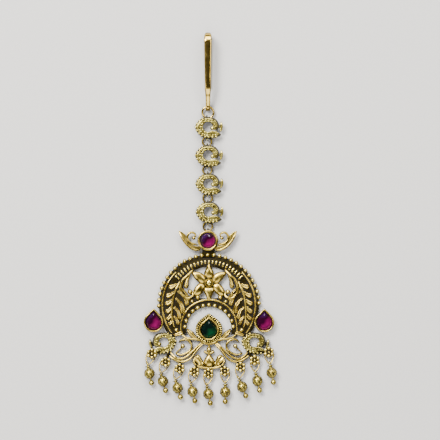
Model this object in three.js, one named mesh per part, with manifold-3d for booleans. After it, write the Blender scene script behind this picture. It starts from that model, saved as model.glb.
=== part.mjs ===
// Maang tikka, a forehead jewel: a hook, a chain of four crescent motifs, a pierced pendant with four cut
// stones, and nine small drops. It lies on its back: +X to its right, +Y up towards the hook, +Z to the eye.
// The origin is the centre of the pendant's disc, on its flat back. Millimetres.
import * as THREE from 'three';
import { mergeVertices } from 'three/addons/utils/BufferGeometryUtils.js';
import { ConvexGeometry } from 'three/addons/geometries/ConvexGeometry.js';
import Module from 'manifold-3d';

const wasm = await Module();
wasm.setup();

// Driving sizes of the pendant
const DISC_R = 16.67;          // disc, to the centres of its edge granules
const GROUND_T = 1.3;          // flat ground plate of the disc
const RELIEF = 0.8;            // how far wires and leaves stand above the ground
const WIRE_W = 0.75;           // flat-backed wire, width
const GRANULE_R = 0.67;        // edge granules of the disc
const GRANULE_COUNT = 27;
const ARCH_GRANULE_R = 0.73;   // granules of the inner arch
const ARCH_GRANULE_COUNT = 13;
const RIB_W = 0.62;            // ribs of the band inside the granules
const RIB_COUNT = 21;
const CUP_WALL = 0.55;         // wall of the stone cups
const CUP_FLOOR = 0.8;
const CUP_RISE = 1.5;          // cup walls above the ground
const SIDE_CUP_R = 3.3;        // round end of the pear cups at the sides
const SIDE_CUP_L = 8.0;        // length of a side cup, point to round end
const SIDE_CUP_SEAT = 0.53;    // how far a side cup is let into the disc's edge
const CENTRE_RIM_R = 4.48;     // twisted rim round the green stone, outside
const CENTRE_RIM_L = 10.1;
const CENTRE_RIM_W = 0.95;
const CENTRE_CUP_R = 3.37;
const CENTRE_CUP_L = 7.9;
const CROWN_R = 3.43;          // round cup of the crown
const CROWN_WALL = 0.75;
const CROWN_BOSS_R = 2.2;      // boss that carries the crown cup above the last link
const CROWN_SHIFT = -0.38;     // the crown hangs a little to the left of the disc
const SOLDER = 0.7;            // solder joint between the disc's granules and the crown
const STONE_GAP = 0.25;        // play between a stone and its cup

// Driving sizes of the chain
const LINK_R = 1.5;            // link ring, to the middle of its wire
const LINK_WIRE_R = 0.33;
const HOOK_RING_R = 1.88;
const HOOK_RING_WIRE_R = 0.35;
const LOOP_HOLE_R = 0.62;      // soldered loop behind a motif's edge
const LOOP_WIRE_R = 0.22;
const LOOP_SET = 0.27;         // loop's centre behind the edge that carries it
const CLEAR = 0.3;             // clearance between loose pieces
const CRESCENT_H = 6.93;       // height of a chain motif
const CRESCENT_T = 0.8;        // its plate
const CRESCENT_RELIEF = 0.5;

// Driving sizes of the hook
const HOOK_TOP_W = 2.57;       // strip width at the bend
const HOOK_END_W = 1.5;        // strip width at the eye
const HOOK_T = 0.9;            // strip thickness
const HOOK_L = 24.5;           // from the eye's centre to the top of the bend
const HOOK_BACK_L = 15;        // plain back leg
const HOOK_THROAT = 4.5;       // clear space between the two legs
const EYE_R = 1.4;             // eye at the end of the front leg
const EYE_WALL = 0.5;

// Driving sizes of the drops
const ROSETTE_R = 1.87;
const ROSETTE_T = 0.6;
const PETAL_NOTCH = 0.45;
const DROP_RING_L = 4.35;      // pear loop, to the middle of its wire
const DROP_RING_W = 3.0;
const DROP_RING_TAPER = 0.45;  // how much wider the loop is near its top
const DROP_RING_FILL = 0.93;   // evens out the width that the taper adds
const DROP_WIRE_R = 0.22;
const DROP_LOOP_HOLE_R = 0.52; // loop behind a rosette
const DROP_LOOP_WIRE_R = 0.2;
const DROP_SET = 0.35;         // ring's top behind the rosette's centre
const EYE_HOLE_R = 0.66;       // eye on top of a drop
const EYE_WIRE_R = 0.17;
const BALL_R = 1.83;
const END_BALL_R = 0.92;
const BEAD_CUP_R = 0.95;
const PIN_R = 0.26;
const PIN_SHOW = 0.45;         // bare pin between the ball and the end ball
const BALL_DROP = 3.03;        // from the eye's centre to the ball's centre

// Heights above the surface that the jewel lies on
const groundTop = GROUND_T;
const reliefTop = GROUND_T + RELIEF;
const cupTop = GROUND_T + CUP_RISE;
const loopOuter = LOOP_HOLE_R + 2 * LOOP_WIRE_R;
const linkZ = loopOuter;
const chainPlateZ = linkZ + LINK_WIRE_R + CLEAR;
const crownTop = chainPlateZ + CUP_RISE;
const dropLoopOuter = DROP_LOOP_HOLE_R + 2 * DROP_LOOP_WIRE_R;
const dropLoopZ = dropLoopOuter;
const dropRise = BALL_R - dropLoopZ;
const rosetteReach = DROP_SET + ROSETTE_R;
const rosetteZ = dropLoopZ + dropRise * rosetteReach / DROP_RING_L + DROP_WIRE_R + CLEAR;
const rosetteTop = rosetteZ + ROSETTE_T;
const rootZ = dropLoopZ + DROP_WIRE_R + CLEAR;

// Places on the pendant, as shares of the disc's radius. Left-hand rows are mirrored to the right.
const PETALS = [
  { tailX: 0, tailY: 0.556, tipX: 0, tipY: 0.73, tip: 0.088, tail: 0.05 },
  { tailX: -0.12, tailY: 0.5, tipX: -0.25, tipY: 0.59, tip: 0.078, tail: 0.05 },
  { tailX: -0.11, tailY: 0.385, tipX: -0.235, tipY: 0.295, tip: 0.078, tail: 0.05 },
  { tailX: 0.12, tailY: 0.5, tipX: 0.25, tipY: 0.59, tip: 0.078, tail: 0.05 },
  { tailX: 0.11, tailY: 0.385, tipX: 0.235, tipY: 0.295, tip: 0.078, tail: 0.05 },
  { tailX: 0, tailY: 0.13, tipX: 0, tipY: 0.27, tip: 0.09, tail: 0.03 },
];
const FLOWER = { y: 0.442, r: 0.095 };
const SCROLL = [
  [-0.315, 0.71], [-0.428, 0.59], [-0.524, 0.498], [-0.568, 0.356], [-0.55, 0.222],
  [-0.448, 0.13], [-0.35, 0.162], [-0.32, 0.226], [-0.376, 0.264],
];
const SCROLL_LEAF = { tailX: -0.385, tailY: 0.6, tipX: -0.445, tipY: 0.38, tip: 0.05, tail: 0.015 };
const FLOWER_WINDOW = { y: 0.43, r: 0.335 };
const SCROLL_WINDOW = { tailX: -0.36, tailY: 0.44, tipX: -0.44, tipY: 0.26, tip: 0.095, tail: 0.12 };
const BALLS = [
  { x: -0.376, y: 0.264, r: 0.05 },
  { x: -0.224, y: 0.15, r: 0.046 },
  { x: -0.336, y: 0.072, r: 0.035 },
  { x: -0.652, y: -0.5, r: 0.042 },
];
const SPINE = [
  [-0.575, 0.49], [-0.616, 0.398], [-0.672, 0.274], [-0.722, 0.09],
  [-0.738, -0.09], [-0.734, -0.27], [-0.69, -0.45],
];
const PLUME_LOBES = [
  { tailX: -0.65, tailY: 0.412, tipX: -0.755, tipY: 0.38, tip: 0.042, tail: 0.02 },
  { tailX: -0.7, tailY: 0.252, tipX: -0.825, tipY: 0.212, tip: 0.042, tail: 0.02 },
  { tailX: -0.74, tailY: 0.09, tipX: -0.84, tipY: 0.054, tip: 0.042, tail: 0.02 },
  { tailX: -0.76, tailY: -0.04, tipX: -0.838, tipY: -0.11, tip: 0.042, tail: 0.02 },
  { tailX: -0.765, tailY: -0.19, tipX: -0.835, tipY: -0.255, tip: 0.036, tail: 0.02 },
  { tailX: -0.74, tailY: -0.31, tipX: -0.785, tipY: -0.36, tip: 0.032, tail: 0.02 },
  { tailX: -0.61, tailY: 0.232, tipX: -0.45, tipY: 0.035, tip: 0.042, tail: 0.022 },
  { tailX: -0.652, tailY: 0.104, tipX: -0.54, tipY: -0.112, tip: 0.046, tail: 0.022 },
  { tailX: -0.698, tailY: -0.086, tipX: -0.6, tipY: -0.235, tip: 0.042, tail: 0.022 },
  { tailX: -0.698, tailY: -0.264, tipX: -0.63, tipY: -0.36, tip: 0.034, tail: 0.022 },
  { tailX: -0.678, tailY: -0.6, tipX: -0.56, tipY: -0.555, tip: 0.04, tail: 0.03 },
];
const RIB_BAND = { from: 41, to: 139, middle: 0.862, topLength: 0.07, sideLength: 0.125 };
const BORDER = { r: 0.928, from: 135, to: 217 };
const ARCH = { y: -0.454, wireR: 0.56, granuleY: -0.484, granuleR: 0.484, windowR: 0.45, reach: 190, foot: 0.1 };
const GROUND_END = 218;
const SIDE_STONE_Y = -0.345;
const CENTRE_STONE_Y = -0.5;
const BUD = { tailX: -0.185, tailY: -0.69, tipX: -0.355, tipY: -0.55, tip: 0.052, tail: 0.03 };
const STEM_FOOT = [[-0.57, -0.56], [-0.44, -0.66]];
const STEM_TOUCH = 225;        // where the stem meets the rim of the green stone, in degrees
const LOWER_CRESCENT = { x: -0.885, y: -0.755, turn: 8, size: 0.415 };
const SPIRAL = [
  [-0.6, -0.745], [-0.545, -0.695], [-0.452, -0.69], [-0.378, -0.742], [-0.343, -0.83],
  [-0.39, -0.915], [-0.478, -0.968], [-0.574, -0.992], [-0.665, -0.965],
];
const SPIRAL_BALL = { x: -0.524, y: -0.82, r: 0.046 };
const SPIRAL_TIE = [[-0.524, -0.82], [-0.66, -0.955]];
const SWEEP_STARTS = [243, 249];
const SWEEPS = [
  [[-0.225, -0.825], [-0.326, -0.922], [-0.428, -1.018], [-0.542, -1.068],
    [-0.638, -1.068], [-0.72, -1.0], [-0.78, -0.93]],
  [[-0.19, -0.845], [-0.274, -0.946], [-0.364, -1.062], [-0.478, -1.12],
    [-0.574, -1.132], [-0.66, -1.106], [-0.76, -1.04], [-0.84, -0.96]],
];
const LOTUS_RIM = [
  [-0.206, -1.0], [-0.28, -1.064], [-0.3, -1.15], [-0.225, -1.224], [0, -1.262],
];
const LOTUS_LOBES = [
  { tailX: -0.13, tailY: -1.2, tipX: -0.23, tipY: -1.08, tip: 0.08, tail: 0.035 },
];
const LOTUS_HEART = { tailX: 0, tailY: -0.95, tipX: 0, tipY: -1.15, tip: 0.105, tail: 0.04 };
const LOTUS_BUD = { y: -0.884, r: 0.05 };
const LOTUS_BALL = { x: -0.13, y: -1.165, r: 0.032 };
const LOTUS_NECK_FOOT = -1.05;

// Nine drops: the rosette's place, the lean of its ring and of its bead in degrees to the right, and the
// place where the rosette's root meets the wires above it. Places are shares of the disc's radius.
const DROPS = [
  { x: -1.138, y: -0.97, ring: -22, bead: 12, rootX: -0.966, rootY: -0.926 },
  { x: -0.866, y: -1.134, ring: -26, bead: 16, rootX: -0.8, rootY: -0.97 },
  { x: -0.584, y: -1.264, ring: -24, bead: 17, rootX: -0.574, rootY: -1.13 },
  { x: -0.292, y: -1.328, ring: -20, bead: 14, rootX: -0.25, rootY: -1.2 },
  { x: -0.01, y: -1.362, ring: -10, bead: 12, rootX: 0, rootY: -1.25 },
  { x: 0.316, y: -1.318, ring: 2, bead: 0, rootX: 0.25, rootY: -1.2 },
  { x: 0.63, y: -1.232, ring: -9, bead: 22, rootX: 0.574, rootY: -1.13 },
  { x: 0.912, y: -1.1, ring: 3, bead: 13, rootX: 0.8, rootY: -0.97 },
  { x: 1.194, y: -0.938, ring: 5, bead: 11, rootX: 0.966, rootY: -0.926 },
];

// Crown wings, as shares of the crown cup's radius from its centre, left side
const WING_BLADE = [
  [-2.82, 0.92], [-2.48, 0.13], [-1.94, -0.56], [-1.36, -0.91], [-0.8, -1.0], [-0.7, -0.6],
  [-1.3, -0.5], [-1.74, -0.2], [-2.02, 0.2], [-2.2, 0.62],
];
const WING_SCROLL = [
  [-0.95, -0.45], [-1.72, -0.2], [-1.98, 0.24], [-1.86, 0.64], [-1.54, 0.78], [-1.22, 0.62], [-1.22, 0.32],
];
const WING_BALL = { x: -1.36, y: 0.24, r: 0.17 };

// Chain motif, as shares of its height from its middle
const CRESCENT_EDGE = [
  [-0.577, 0.019], [-0.38, 0.341], [-0.16, 0.47], [0.06, 0.5], [0.28, 0.475], [0.46, 0.375],
  [0.56, 0.17], [0.529, -0.07], [0.54, -0.25], [0.683, -0.346], [0.44, -0.48],
  [0.06, -0.5], [-0.18, -0.455], [-0.4, -0.31],
];
const CRESCENT_HOLE = { x: 0.045, y: 0.03, r: 0.235 };
const CRESCENT_NOTCH = [[0.12, -0.19], [0.32, -0.14], [0.7, -0.09], [0.32, -0.26]];
const CRESCENT_BALL = { x: 0.26, y: -0.03, r: 0.085 };
const SPIKE_EDGE = [
  [0.74, 0.27], [0.755, 0.02], [0.67, -0.25], [0.62, -0.05], [0.5, -0.02], [0.5, 0.08], [0.62, 0.12],
];
const CHAIN_SHIFT = [-0.67, -0.62, -0.5, -0.42];

const gold = { color: 0xb39b4e, roughness: 0.38, metalness: 1 };
const pinkGlass = { color: 0x8a0a62, roughness: 0.08, metalness: 0 };
const greenGlass = { color: 0x0c4a30, roughness: 0.08, metalness: 0 };

const MERGE = 1e-3;            // points closer than this are one
const OVERCUT = 1;             // how far a cutter runs past what it cuts
const WINDOW_RISE = 3.2;       // a domed cutter's crown stands this far above the relief
const rad = THREE.MathUtils.degToRad;
const mirrorX = (row) => (Array.isArray(row) ? [-row[0], row[1]]
  : { ...row, x: -row.x, tailX: -row.tailX, tipX: -row.tipX, rootX: -row.rootX });
const scaled = (points, size) => points.map(([x, y]) => [x * size, y * size]);
const bothSides = (make, rows) => rows.flatMap((row) => [make(row), make(mirrorX(row))]);

// A closed geometry becomes a solid for joining and cutting
function solid(geometry) {
  const bare = geometry.index ? geometry.toNonIndexed() : geometry.clone();
  bare.deleteAttribute('normal');
  bare.deleteAttribute('uv');
  const merged = mergeVertices(bare, MERGE);
  const vertProperties = new Float32Array(merged.attributes.position.array);
  const triVerts = new Uint32Array(merged.index.array);
  return new wasm.Manifold(new wasm.Mesh({ numProp: 3, vertProperties, triVerts }));
}

function join(solids) {
  return solids.reduce((whole, next) => whole.add(next));
}

// Faces that keep three different corners once close points are one
function wholeFaces(corners) {
  const faces = [];
  for (let i = 0; i < corners.length; i += 3) {
    const [a, b, c] = corners.slice(i, i + 3);
    if (a !== b && b !== c && c !== a) faces.push(a, b, c);
  }
  return faces;
}

function named(name, body, finish) {
  const { vertProperties, triVerts, numProp } = body.getMesh();
  const positions = [];
  for (let i = 0; i < vertProperties.length; i += numProp) {
    positions.push(vertProperties[i], vertProperties[i + 1], vertProperties[i + 2]);
  }
  const bare = new THREE.BufferGeometry();
  bare.setAttribute('position', new THREE.Float32BufferAttribute(positions, 3));
  bare.setIndex([...triVerts]);
  const geometry = mergeVertices(bare, MERGE);
  geometry.setIndex(wholeFaces(geometry.index.array));
  geometry.computeVertexNormals();
  const mesh = new THREE.Mesh(geometry, new THREE.MeshStandardMaterial(finish));
  mesh.name = name;
  return mesh;
}

// A flat outline raised between two heights
function plate(points, z0, z1) {
  const shape = points instanceof THREE.Shape ? points
    : new THREE.Shape(points.map(([x, y]) => new THREE.Vector2(x, y)));
  const geometry = new THREE.ExtrudeGeometry(shape, { depth: z1 - z0, bevelEnabled: false, curveSegments: 20 });
  return solid(geometry.translate(0, 0, z0));
}

function disc(x, y, r, z0, z1, sides = 24) {
  const geometry = new THREE.CylinderGeometry(r, r, z1 - z0, sides).rotateX(Math.PI / 2);
  return solid(geometry.translate(x, y, (z0 + z1) / 2));
}

// A wire with a flat back and a narrower front, along a smooth line
function wire(points, width, z0, z1, steps = points.length * 2 - 2) {
  const half = width / 2;
  const section = new THREE.Shape([
    new THREE.Vector2(-z0, -half),
    new THREE.Vector2(-z0, half),
    new THREE.Vector2(-z1, half * 0.5),
    new THREE.Vector2(-z1, -half * 0.5),
  ]);
  const path = new THREE.CatmullRomCurve3(points.map(([x, y]) => new THREE.Vector3(x, y, 0)));
  return solid(new THREE.ExtrudeGeometry(section, { steps, extrudePath: path, bevelEnabled: false }));
}

function arcPoints(x, y, r, from, to, count) {
  return Array.from({ length: count + 1 }, (_, i) => {
    const a = rad(from + (to - from) * i / count);
    return [x + r * Math.cos(a), y + r * Math.sin(a)];
  });
}

// A round granule: a dome about (x, y, z) on a skirt that stands at z0
function granule(x, y, r, z, z0 = 0) {
  const profile = [[0, z0], [r, z0], [r * 0.8, z + r * 0.6], [0, z + r]].map(([px, pz]) => new THREE.Vector2(px, pz));
  return solid(new THREE.LatheGeometry(profile, 10).rotateX(Math.PI / 2).translate(x, y, 0));
}

// A leaf or petal: a low dome at its tip drawn out to a narrow tail
function lobe(row, size, z0, z1, sides = 7) {
  const shoulder = z0 + (z1 - z0) * 0.6;
  const points = [];
  const ring = (x, y, r, z, n, start) => {
    for (let i = 0; i < n; i += 1) {
      const a = start + i / n * 2 * Math.PI;
      points.push(new THREE.Vector3((x + r * Math.cos(a)) * size, (y + r * Math.sin(a)) * size, z));
    }
  };
  const heading = Math.atan2(row.tipY - row.tailY, row.tipX - row.tailX);
  ring(row.tipX, row.tipY, row.tip, z0, sides, heading);
  ring(row.tipX, row.tipY, row.tip, shoulder, sides, heading);
  ring(row.tipX, row.tipY, row.tip * 0.45, z1, 2, heading);
  ring(row.tailX, row.tailY, row.tail, z0, 2, heading + Math.PI / 2);
  ring(row.tailX, row.tailY, row.tail, shoulder, 2, heading + Math.PI / 2);
  return solid(new ConvexGeometry(points));
}

// A pear outline with its point up: a round end of radius r about (x, y), the point at length l from its foot
function pear(x, y, r, l, sides = 12) {
  const tip = l - r;
  const touch = Math.asin(r / tip);
  const points = [[x, y + tip]];
  for (let i = 0; i <= sides; i += 1) {
    const a = Math.PI - touch + (Math.PI + 2 * touch) * i / sides;
    points.push([x + r * Math.cos(a), y + r * Math.sin(a)]);
  }
  return points;
}

// A pear cup: floor and wall, open at the top
function pearCup(x, y, r, l, z0, z1) {
  const outer = plate(pear(x, y, r, l), z0, z1);
  const inner = plate(pear(x, y, r - CUP_WALL, l - CUP_WALL * (1 + (l - r) / r)), z0 + CUP_FLOOR, z1 + OVERCUT);
  return outer.subtract(inner);
}

// A cut stone: table, crown facets, a girdle and a pavilion, as the hull of its facet corners
function cutStone(outline, x, y, zFoot, zGirdle, zTable) {
  const points = [];
  const shrunk = (share, z) => outline.forEach(([px, py]) => {
    points.push(new THREE.Vector3(x + (px - x) * share, y + (py - y) * share, z));
  });
  shrunk(0.55, zFoot);
  shrunk(1, zGirdle);
  shrunk(1, zGirdle + (zTable - zGirdle) * 0.2);
  shrunk(0.58, zTable);
  return solid(new ConvexGeometry(points));
}

function torus(r, wireR, wireSides, ringSides) {
  return new THREE.TorusGeometry(r, wireR, wireSides, ringSides);
}

// A soldered loop: a wire staple that hangs from a plate's underside round a ring's wire. It stands in the
// plane of +Z and the Y axis, turned by lean about +Z, and its foot touches the surface below.
function loopBehind(x, y, holeR, wireR, zTop, lean = 0) {
  const r = holeR + wireR;
  const z = holeR + 2 * wireR;
  const line = (out) => [
    [r + out, zTop], ...arcPoints(0, z, r + out, 0, -180, 3), [-r - out, zTop],
  ];
  const strip = plate([...line(wireR), ...line(-wireR).reverse()], -wireR, wireR).rotate([90, 0, 90]);
  return strip.rotate([0, 0, lean]).translate([x, y, 0]);
}

// The ground plate of the disc, with the arch's window cut through
function ground() {
  const below = DISC_R * (ARCH.granuleY - ARCH.foot);
  const outline = [
    ...arcPoints(0, 0, DISC_R, 180 - GROUND_END, GROUND_END, GRANULE_COUNT + 9),
    [-DISC_R * ARCH.granuleR, below],
    [DISC_R * ARCH.granuleR, below],
  ];
  const window = disc(0, DISC_R * ARCH.granuleY, DISC_R * ARCH.windowR, -OVERCUT, groundTop + OVERCUT, 30);
  const mouth = plate([
    [-DISC_R * ARCH.windowR, below - DISC_R], [DISC_R * ARCH.windowR, below - DISC_R],
    [DISC_R * ARCH.windowR, DISC_R * ARCH.granuleY], [-DISC_R * ARCH.windowR, DISC_R * ARCH.granuleY],
  ], -OVERCUT, groundTop + OVERCUT);
  return plate(outline, 0, groundTop).subtract(window).subtract(mouth);
}

function edgeGranules() {
  return arcPoints(0, 0, DISC_R, 2, 181, GRANULE_COUNT - 1)
    .map(([x, y]) => granule(x, y, GRANULE_R, groundTop - GRANULE_R * 0.2, groundTop / 2));
}

function archGranules() {
  return arcPoints(0, DISC_R * ARCH.granuleY, DISC_R * ARCH.granuleR, 6, 174, ARCH_GRANULE_COUNT - 1)
    .map(([x, y]) => granule(x, y, ARCH_GRANULE_R, groundTop, groundTop / 2));
}

function ribs() {
  const span = RIB_BAND.to - RIB_BAND.from;
  return Array.from({ length: RIB_COUNT }, (_, i) => {
    const angle = RIB_BAND.from + span * i / (RIB_COUNT - 1);
    const side = Math.abs(angle - 90) / (span / 2);
    const length = DISC_R * (RIB_BAND.topLength + (RIB_BAND.sideLength - RIB_BAND.topLength) * side);
    const height = RELIEF * 0.6 + groundTop / 2;
    const middle = DISC_R * (RIB_BAND.middle + RIB_BAND.topLength / 2) - length / 2;
    const geometry = new THREE.BoxGeometry(length, RIB_W, height).translate(middle, 0, groundTop / 2 + height / 2);
    return solid(geometry.rotateZ(rad(angle)));
  });
}

function discWires() {
  const scroll = (points) => wire(scaled(points, DISC_R), WIRE_W, 0, reliefTop, 9);
  const spine = (points) => wire(scaled(points, DISC_R), WIRE_W, groundTop / 2, reliefTop, 6);
  const border = (from, to) => wire(arcPoints(0, 0, DISC_R * BORDER.r, from, to, 6),
    WIRE_W, groundTop / 2, reliefTop, 8);
  return [
    scroll(SCROLL), scroll(SCROLL.map(mirrorX)),
    spine(SPINE), spine(SPINE.map(mirrorX)),
    border(BORDER.from, BORDER.to), border(180 - BORDER.from, 180 - BORDER.to),
    wire(arcPoints(0, DISC_R * ARCH.y, DISC_R * ARCH.wireR, 180 - ARCH.reach, ARCH.reach, 10),
      WIRE_W, groundTop / 2, reliefTop, 16),
  ];
}

function flower() {
  const y = DISC_R * FLOWER.y;
  return [
    ...PETALS.map((row) => lobe(row, DISC_R, 0, reliefTop, 7)),
    disc(0, y, DISC_R * FLOWER.r * 1.6, 0, groundTop, 8),
    granule(0, y, DISC_R * FLOWER.r, groundTop),
  ];
}

function leaves() {
  const leaf = (z0) => (row) => lobe(row, DISC_R, z0, reliefTop, 5);
  const ball = (row) => granule(row.x * DISC_R, row.y * DISC_R, row.r * DISC_R, groundTop + row.r * DISC_R * 0.4);
  return [
    ...bothSides(leaf(0), [SCROLL_LEAF]), ...bothSides(leaf(groundTop / 2), PLUME_LOBES),
    ...bothSides(ball, BALLS),
  ];
}

// The side cups are let into the disc's edge
const sideStoneY = DISC_R * SIDE_STONE_Y;
const sideStoneX = Math.sqrt(DISC_R ** 2 - sideStoneY ** 2) + SIDE_CUP_R - SIDE_CUP_SEAT;

function sideCups() {
  return [-1, 1].map((side) => pearCup(side * sideStoneX, sideStoneY, SIDE_CUP_R, SIDE_CUP_L, 0, cupTop));
}

function centreSetting() {
  const y = DISC_R * CENTRE_STONE_Y;
  const rimOuter = pear(0, y, CENTRE_RIM_R, CENTRE_RIM_L);
  const rimInner = pear(0, y, CENTRE_RIM_R - CENTRE_RIM_W, CENTRE_RIM_L - CENTRE_RIM_W * 2);
  const rim = plate(rimOuter, 0, reliefTop).subtract(plate(rimInner, CUP_FLOOR, reliefTop + OVERCUT));
  return [rim, pearCup(0, y, CENTRE_CUP_R, CENTRE_CUP_L, 0, cupTop)];
}

function budsAndStem() {
  const rimY = DISC_R * CENTRE_STONE_Y;
  const left = [...scaled(STEM_FOOT, DISC_R), ...arcPoints(0, rimY, CENTRE_RIM_R, STEM_TOUCH, 270, 2)];
  const stem = [...left, ...left.slice(0, -1).map(mirrorX).reverse()];
  return [
    wire(stem, WIRE_W, 0, groundTop + RELIEF / 2, 14),
    ...bothSides((row) => lobe(row, DISC_R, 0, reliefTop, 7), [BUD]),
  ];
}

// The openwork crescent: a stepped plate with a hole, an open notch and a curled end ball
function crescent(height, z0, z1, zTop) {
  const edge = scaled(CRESCENT_EDGE, height);
  const inner = scaled(CRESCENT_EDGE, height * 0.86);
  const hole = CRESCENT_HOLE;
  const step = plate(inner, z1 - CRESCENT_T / 2, zTop);
  const cuts = [
    disc(hole.x * height, hole.y * height, hole.r * height, z0 - OVERCUT, zTop + OVERCUT, 10),
    plate(scaled(CRESCENT_NOTCH, height), z0 - OVERCUT, zTop + OVERCUT),
  ];
  const body = cuts.reduce((rest, cut) => rest.subtract(cut), plate(edge, z0, z1).add(step));
  const ball = CRESCENT_BALL;
  return body.add(granule(ball.x * height, ball.y * height, ball.r * height, (z1 + zTop) / 2, z0));
}

function lowerCrescents() {
  const size = DISC_R * LOWER_CRESCENT.size;
  const left = crescent(size, 0, groundTop, reliefTop).mirror([1, 0, 0]).rotate([0, 0, LOWER_CRESCENT.turn])
    .translate([LOWER_CRESCENT.x * DISC_R, LOWER_CRESCENT.y * DISC_R, 0]);
  return [left, left.mirror([1, 0, 0])];
}

function lowerWires() {
  const low = (points, steps) => wire(points, WIRE_W, 0, reliefTop, steps);
  const rimY = DISC_R * CENTRE_STONE_Y;
  const sweeps = SWEEPS.map((points, i) => [
    ...arcPoints(0, rimY, CENTRE_RIM_R - WIRE_W / 2, SWEEP_STARTS[i], SWEEP_STARTS[i] + 1, 1).slice(0, 1),
    ...scaled(points, DISC_R),
  ]);
  const ball = (row) => granule(row.x * DISC_R, row.y * DISC_R, row.r * DISC_R, groundTop);
  return [
    ...[SPIRAL, SPIRAL.map(mirrorX)].map((points) => low(scaled(points, DISC_R), 9)),
    ...[...sweeps, ...sweeps.map((points) => points.map(mirrorX))].map((points) => low(points, 6)),
    ...[SPIRAL_TIE, SPIRAL_TIE.map(mirrorX)]
      .map((points) => wire(scaled(points, DISC_R), WIRE_W, 0, groundTop, 1)),
    ...bothSides(ball, [SPIRAL_BALL]),
  ];
}

function lotus() {
  const rim = [...scaled(LOTUS_RIM, DISC_R), ...scaled(LOTUS_RIM, DISC_R).map(mirrorX).reverse().slice(1)];
  const petal = (row) => lobe(row, DISC_R, 0, reliefTop, 7);
  const ball = (row) => granule(row.x * DISC_R, row.y * DISC_R, row.r * DISC_R, groundTop);
  const neck = [[0, DISC_R * CENTRE_STONE_Y - CENTRE_RIM_R + WIRE_W / 2], [0, DISC_R * LOTUS_NECK_FOOT]];
  return [
    wire(rim, WIRE_W, 0, reliefTop, 10),
    wire(neck, WIRE_W, 0, groundTop, 1),
    lobe(LOTUS_HEART, DISC_R, 0, reliefTop + RELIEF / 2, 8),
    granule(0, LOTUS_BUD.y * DISC_R, LOTUS_BUD.r * DISC_R, groundTop),
    ...bothSides(petal, LOTUS_LOBES),
    ...bothSides(ball, [LOTUS_BALL]),
  ];
}

// The crown: a round cup on a boss, two wings, and the solder joint down to the disc
const crownY = DISC_R + GRANULE_R + SOLDER + CROWN_R;

function crown() {
  const zWire = chainPlateZ + RELIEF * 1.4;
  const cup = disc(CROWN_SHIFT, crownY, CROWN_R, chainPlateZ, crownTop, 18)
    .subtract(disc(CROWN_SHIFT, crownY, CROWN_R - CROWN_WALL, chainPlateZ + CUP_FLOOR, crownTop + OVERCUT, 18));
  const place = (points) => scaled(points, CROWN_R).map(([x, y]) => [x + CROWN_SHIFT, y + crownY]);
  const wing = (side) => {
    const turn = (points) => place(side < 0 ? points : points.map(mirrorX));
    const [[ballX, ballY]] = turn([[WING_BALL.x, WING_BALL.y]]);
    return [
      plate(turn(WING_BLADE), chainPlateZ, chainPlateZ + RELIEF * 0.8),
      wire(turn(WING_SCROLL), WIRE_W * 0.9, chainPlateZ, zWire, 8),
      granule(ballX, ballY, WING_BALL.r * CROWN_R, zWire - WING_BALL.r * CROWN_R * 0.5),
    ];
  };
  const joint = new THREE.BoxGeometry(CROWN_R * 1.3, SOLDER + GRANULE_R * 2 + CROWN_R * 0.5, reliefTop + CLEAR)
    .translate(CROWN_SHIFT / 2, DISC_R + (SOLDER + GRANULE_R * 2) / 2, (reliefTop + CLEAR) / 2);
  return [
    cup, solid(joint), ...wing(-1), ...wing(1),
    disc(CROWN_SHIFT, crownY, CROWN_BOSS_R, 0, chainPlateZ + CUP_FLOOR / 2, 8),
    loopBehind(CROWN_SHIFT, crownY + CROWN_R - LOOP_SET, LOOP_HOLE_R, LOOP_WIRE_R, chainPlateZ + CUP_FLOOR / 2),
  ];
}

// A rosette: six petals round a centre ball, a root to the wires above, and the loop behind it
function rosette(row) {
  const x = row.x * DISC_R;
  const y = row.y * DISC_R;
  const edge = Array.from({ length: 18 }, (_, i) => {
    const a = rad(20 * i);
    const r = ROSETTE_R - (i % 3 === 0 ? PETAL_NOTCH : 0);
    return [x + r * Math.cos(a), y + r * Math.sin(a)];
  });
  const lean = rad(row.ring);
  const loopX = x - DROP_SET * Math.sin(lean);
  const loopY = y + DROP_SET * Math.cos(lean);
  const reach = Math.hypot(row.rootX * DISC_R - x, row.rootY * DISC_R - y);
  const along = (d) => [
    x + (row.rootX * DISC_R - x) * d / reach, y + (row.rootY * DISC_R - y) * d / reach,
  ];
  const root = [along(ROSETTE_R * 0.75), along(reach)];
  return [
    plate(edge, rosetteZ, rosetteTop),
    disc(x, y, ROSETTE_R * 0.28, rosetteTop - ROSETTE_T / 2, rosetteTop + ROSETTE_R * 0.2, 6),
    wire(root, WIRE_W * 1.3, rootZ, rosetteZ + ROSETTE_T / 2, 1),
    loopBehind(loopX, loopY, DROP_LOOP_HOLE_R, DROP_LOOP_WIRE_R, rosetteZ + ROSETTE_T / 2, row.ring),
  ];
}

function pendant() {
  const windows = [
    ...bothSides((row) => lobe(row, DISC_R, -OVERCUT, reliefTop + WINDOW_RISE, 8), [SCROLL_WINDOW]),
    disc(0, FLOWER_WINDOW.y * DISC_R, FLOWER_WINDOW.r * DISC_R, -OVERCUT, groundTop + OVERCUT, 24),
  ];
  const plateWork = [ground(), ...edgeGranules(), ...archGranules(), ...ribs()];
  const cut = windows.reduce((rest, window) => rest.subtract(window), join(plateWork));
  const casting = join([
    cut, ...discWires(), ...flower(), ...leaves(), ...sideCups(), ...centreSetting(), ...budsAndStem(),
    ...lowerCrescents(), ...lowerWires(), ...lotus(), ...crown(),
  ]);
  const room = DROPS.map(({ x, y }) => disc(x * DISC_R, y * DISC_R, ROSETTE_R, -OVERCUT, rootZ, 10));
  return join([room.reduce((rest, cutter) => rest.subtract(cutter), casting), ...DROPS.flatMap(rosette)]);
}

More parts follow.
